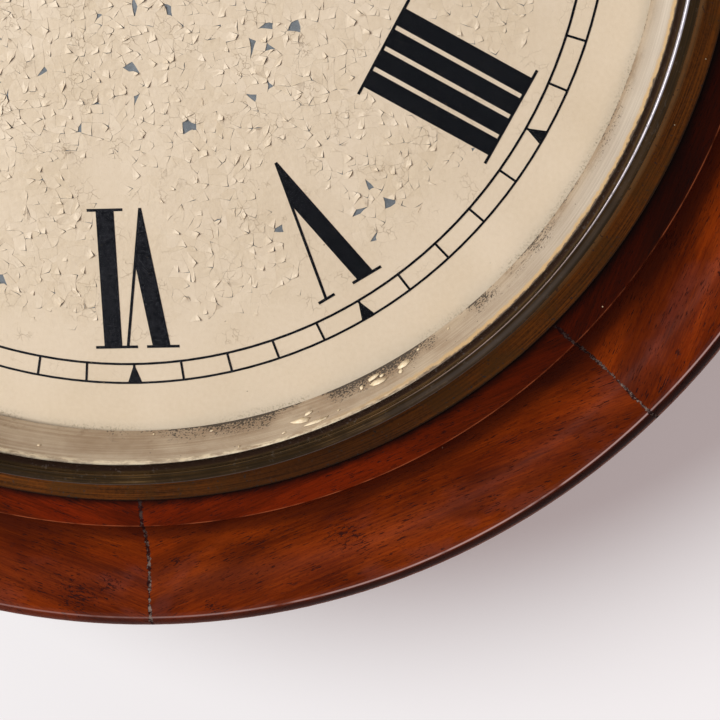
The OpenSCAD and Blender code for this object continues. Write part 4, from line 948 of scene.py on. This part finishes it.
pineAcross = boardFinish("pineAcross", False)
pineUpright = boardFinish("pineUpright", True)
finishes = {
    "mahogany": None,  # the segments have theirs
    "pine": pineAcross,
    "steel": metalFinish("steelTurned", tint(120, 122, 126), tint(176, 178, 180), tint(98, 74, 56), 0.32),
    "zinc": zincFinish(),
    "cream_paint": creamPaint,
    "black_print": inkFinish(),
    "brass": metalFinish("agedBrass", tint(130, 96, 44), tint(192, 150, 82), tint(84, 60, 32), 0.32),
    "tarnished_brass": tarnished,
    "silvered_brass": silver,
    "glass": glassFinish(),
    "soft_iron": metalFinish("softIron", tint(58, 58, 62), tint(92, 92, 96), tint(84, 58, 42), 0.45, 0.8),
    "moulding": mouldedFinish(),
    "winding": windingFinish(),
    "blued_steel": bluedFinish(),
}
ownFinish = {"box_left_side": pineUpright, "box_right_side": pineUpright}
slotOf = {row["node"]: row["material_slot"] for row in frame["record"]["subparts"]}
for name, node in nodes.items():
    finish = ownFinish.get(name, finishes[slotOf[name]])
    if finish is None:
        continue
    if not node.material_slots:
        node.data.materials.append(finish)
    for held in node.material_slots:
        held.material = finish
eased = {  # CAD pieces whose edges are eased: by how many mm, finish, slot and body
    "back_board": (0.8, pineAcross, "pine", "case"),
    "box_left_side": (0.8, pineUpright, "pine", "case"),
    "box_right_side": (0.8, pineUpright, "pine", "case"),
    "box_top": (0.6, pineAcross, "pine", "case"),
    "box_bottom": (0.6, pineAcross, "pine", "case"),
    "case_door": (0.9, pineAcross, "pine", "door_body"),
    "hanging_plate": (0.25, finishes["brass"], "brass", "case"),
    "bezel_catch": (0.3, finishes["brass"], "brass", "bezel_catch_body"),
    "door_catch": (0.3, finishes["brass"], "brass", "door_catch_body"),
    "minute_hand": (0.18, finishes["blued_steel"], "blued_steel", "minute_train"),
    "hour_hand": (0.2, finishes["blued_steel"], "blued_steel", "hour_train"),
    "hand_nut": (0.3, finishes["brass"], "brass", "minute_train"),
}
for name, (width, finish, slot, body) in eased.items():
    softened(name, width, finish, body)
print("finishes given")


# stage and light
stage = {
    "wall": (tint(202, 207, 210), tint(217, 222, 225)),  # at the left and at the right
    "floor": (tint(208, 207, 210), tint(208, 207, 210)),
    "reach": 12,  # metres, as all that follows
    "behind": 0.0006,  # from the clock's back to the wall
    "under": -0.62,
    "backdrop": tint(242, 241, 242),
    "glow": 0.30,
    "glowTint": tint(242, 225, 224),
    "fill": (0.265, 0.205, 0.198, 1.0),
    "keyPower": 56.5,
    "keySize": 1.25,
    "keyFrom": (-0.63, -0.70, 0.245),
    "keyDistance": 2.1,
    "keyAim": (0.03, -0.08, -0.05),
    "keyTint": (0.99, 1.0, 0.985),
}


def stagePlane(name, matrix, colour):
    bm = bmesh.new()
    bmesh.ops.create_grid(bm, x_segments=2, y_segments=2, size=stage["reach"])
    bmesh.ops.transform(bm, matrix=matrix, verts=bm.verts[:])
    mesh = bpy.data.meshes.new(name)
    bm.to_mesh(mesh)
    bm.free()
    plane = bpy.data.objects.new(name, mesh)
    scene.collection.objects.link(plane)
    made, shader, place = newMaterial(name + "Paper", Roughness=0.9, Specular_IOR_Level=0.0,
                                      Emission_Color=stage["glowTint"], Emission_Strength=stage["glow"])
    x, y, z = place.split()
    feed(shader, Base_Color=(x + z * 0.15).step(-0.12, 0.20).blend(*colour))
    tree = made.node_tree
    out = tree.nodes["Material Output"]
    behind = place.add("NewGeometry", {}, {}, 6)
    clear = tree.nodes.new("ShaderNodeBsdfTransparent")
    both = tree.nodes.new("ShaderNodeMixShader")
    tree.links.new(behind.socket, both.inputs[0])
    tree.links.new(shader.outputs[0], both.inputs[1])
    tree.links.new(clear.outputs[0], both.inputs[2])
    tree.links.new(both.outputs[0], out.inputs["Surface"])
    mesh.materials.append(made)
    plane.visible_diffuse = False
    plane.visible_glossy = False
    plane.visible_transmission = False
    plane.visible_shadow = False


upright = Matrix.Rotation(math.pi / 2, 4, "X")
stagePlane("wall", Matrix.Translation((0, stage["behind"], 0)) @ upright, stage["wall"])
ahead = 0.1 - stage["reach"]  # the floor ends just behind the wall
stagePlane("floor", Matrix.Translation((0, ahead, stage["under"])), stage["floor"])

world = bpy.data.worlds.new("studio")
scene.world = world
world.use_nodes = True
tree = world.node_tree
even = tree.nodes["Background"]
even.inputs["Color"].default_value = stage["fill"]
even.inputs["Strength"].default_value = 1.0
seen = tree.nodes.new("ShaderNodeBackground")
seen.inputs["Color"].default_value = stage["backdrop"]
rays = tree.nodes.new("ShaderNodeLightPath").outputs
path = Wire(tree, rays["Is Camera Ray"]).most(Wire(tree, rays["Is Glossy Ray"]))
path = path.most(Wire(tree, rays["Is Transmission Ray"]))
both = tree.nodes.new("ShaderNodeMixShader")
tree.links.new(path.socket, both.inputs[0])
tree.links.new(even.outputs[0], both.inputs[1])
tree.links.new(seen.outputs[0], both.inputs[2])
tree.links.new(both.outputs[0], tree.nodes["World Output"].inputs["Surface"])

key = bpy.data.lights.new("key", "AREA")
key.shape = "DISK"
key.size = stage["keySize"]
key.energy = stage["keyPower"]
key.color = stage["keyTint"]
keyObject = bpy.data.objects.new("key", key)
scene.collection.objects.link(keyObject)
toward = Vector(stage["keyFrom"]).normalized()
keyObject.location = toward * stage["keyDistance"] + Vector(stage["keyAim"])
keyObject.rotation_mode = "QUATERNION"
keyObject.rotation_quaternion = toward.to_track_quat("Z", "Y")
scene.view_settings.view_transform = "Standard"
print("stage lit")
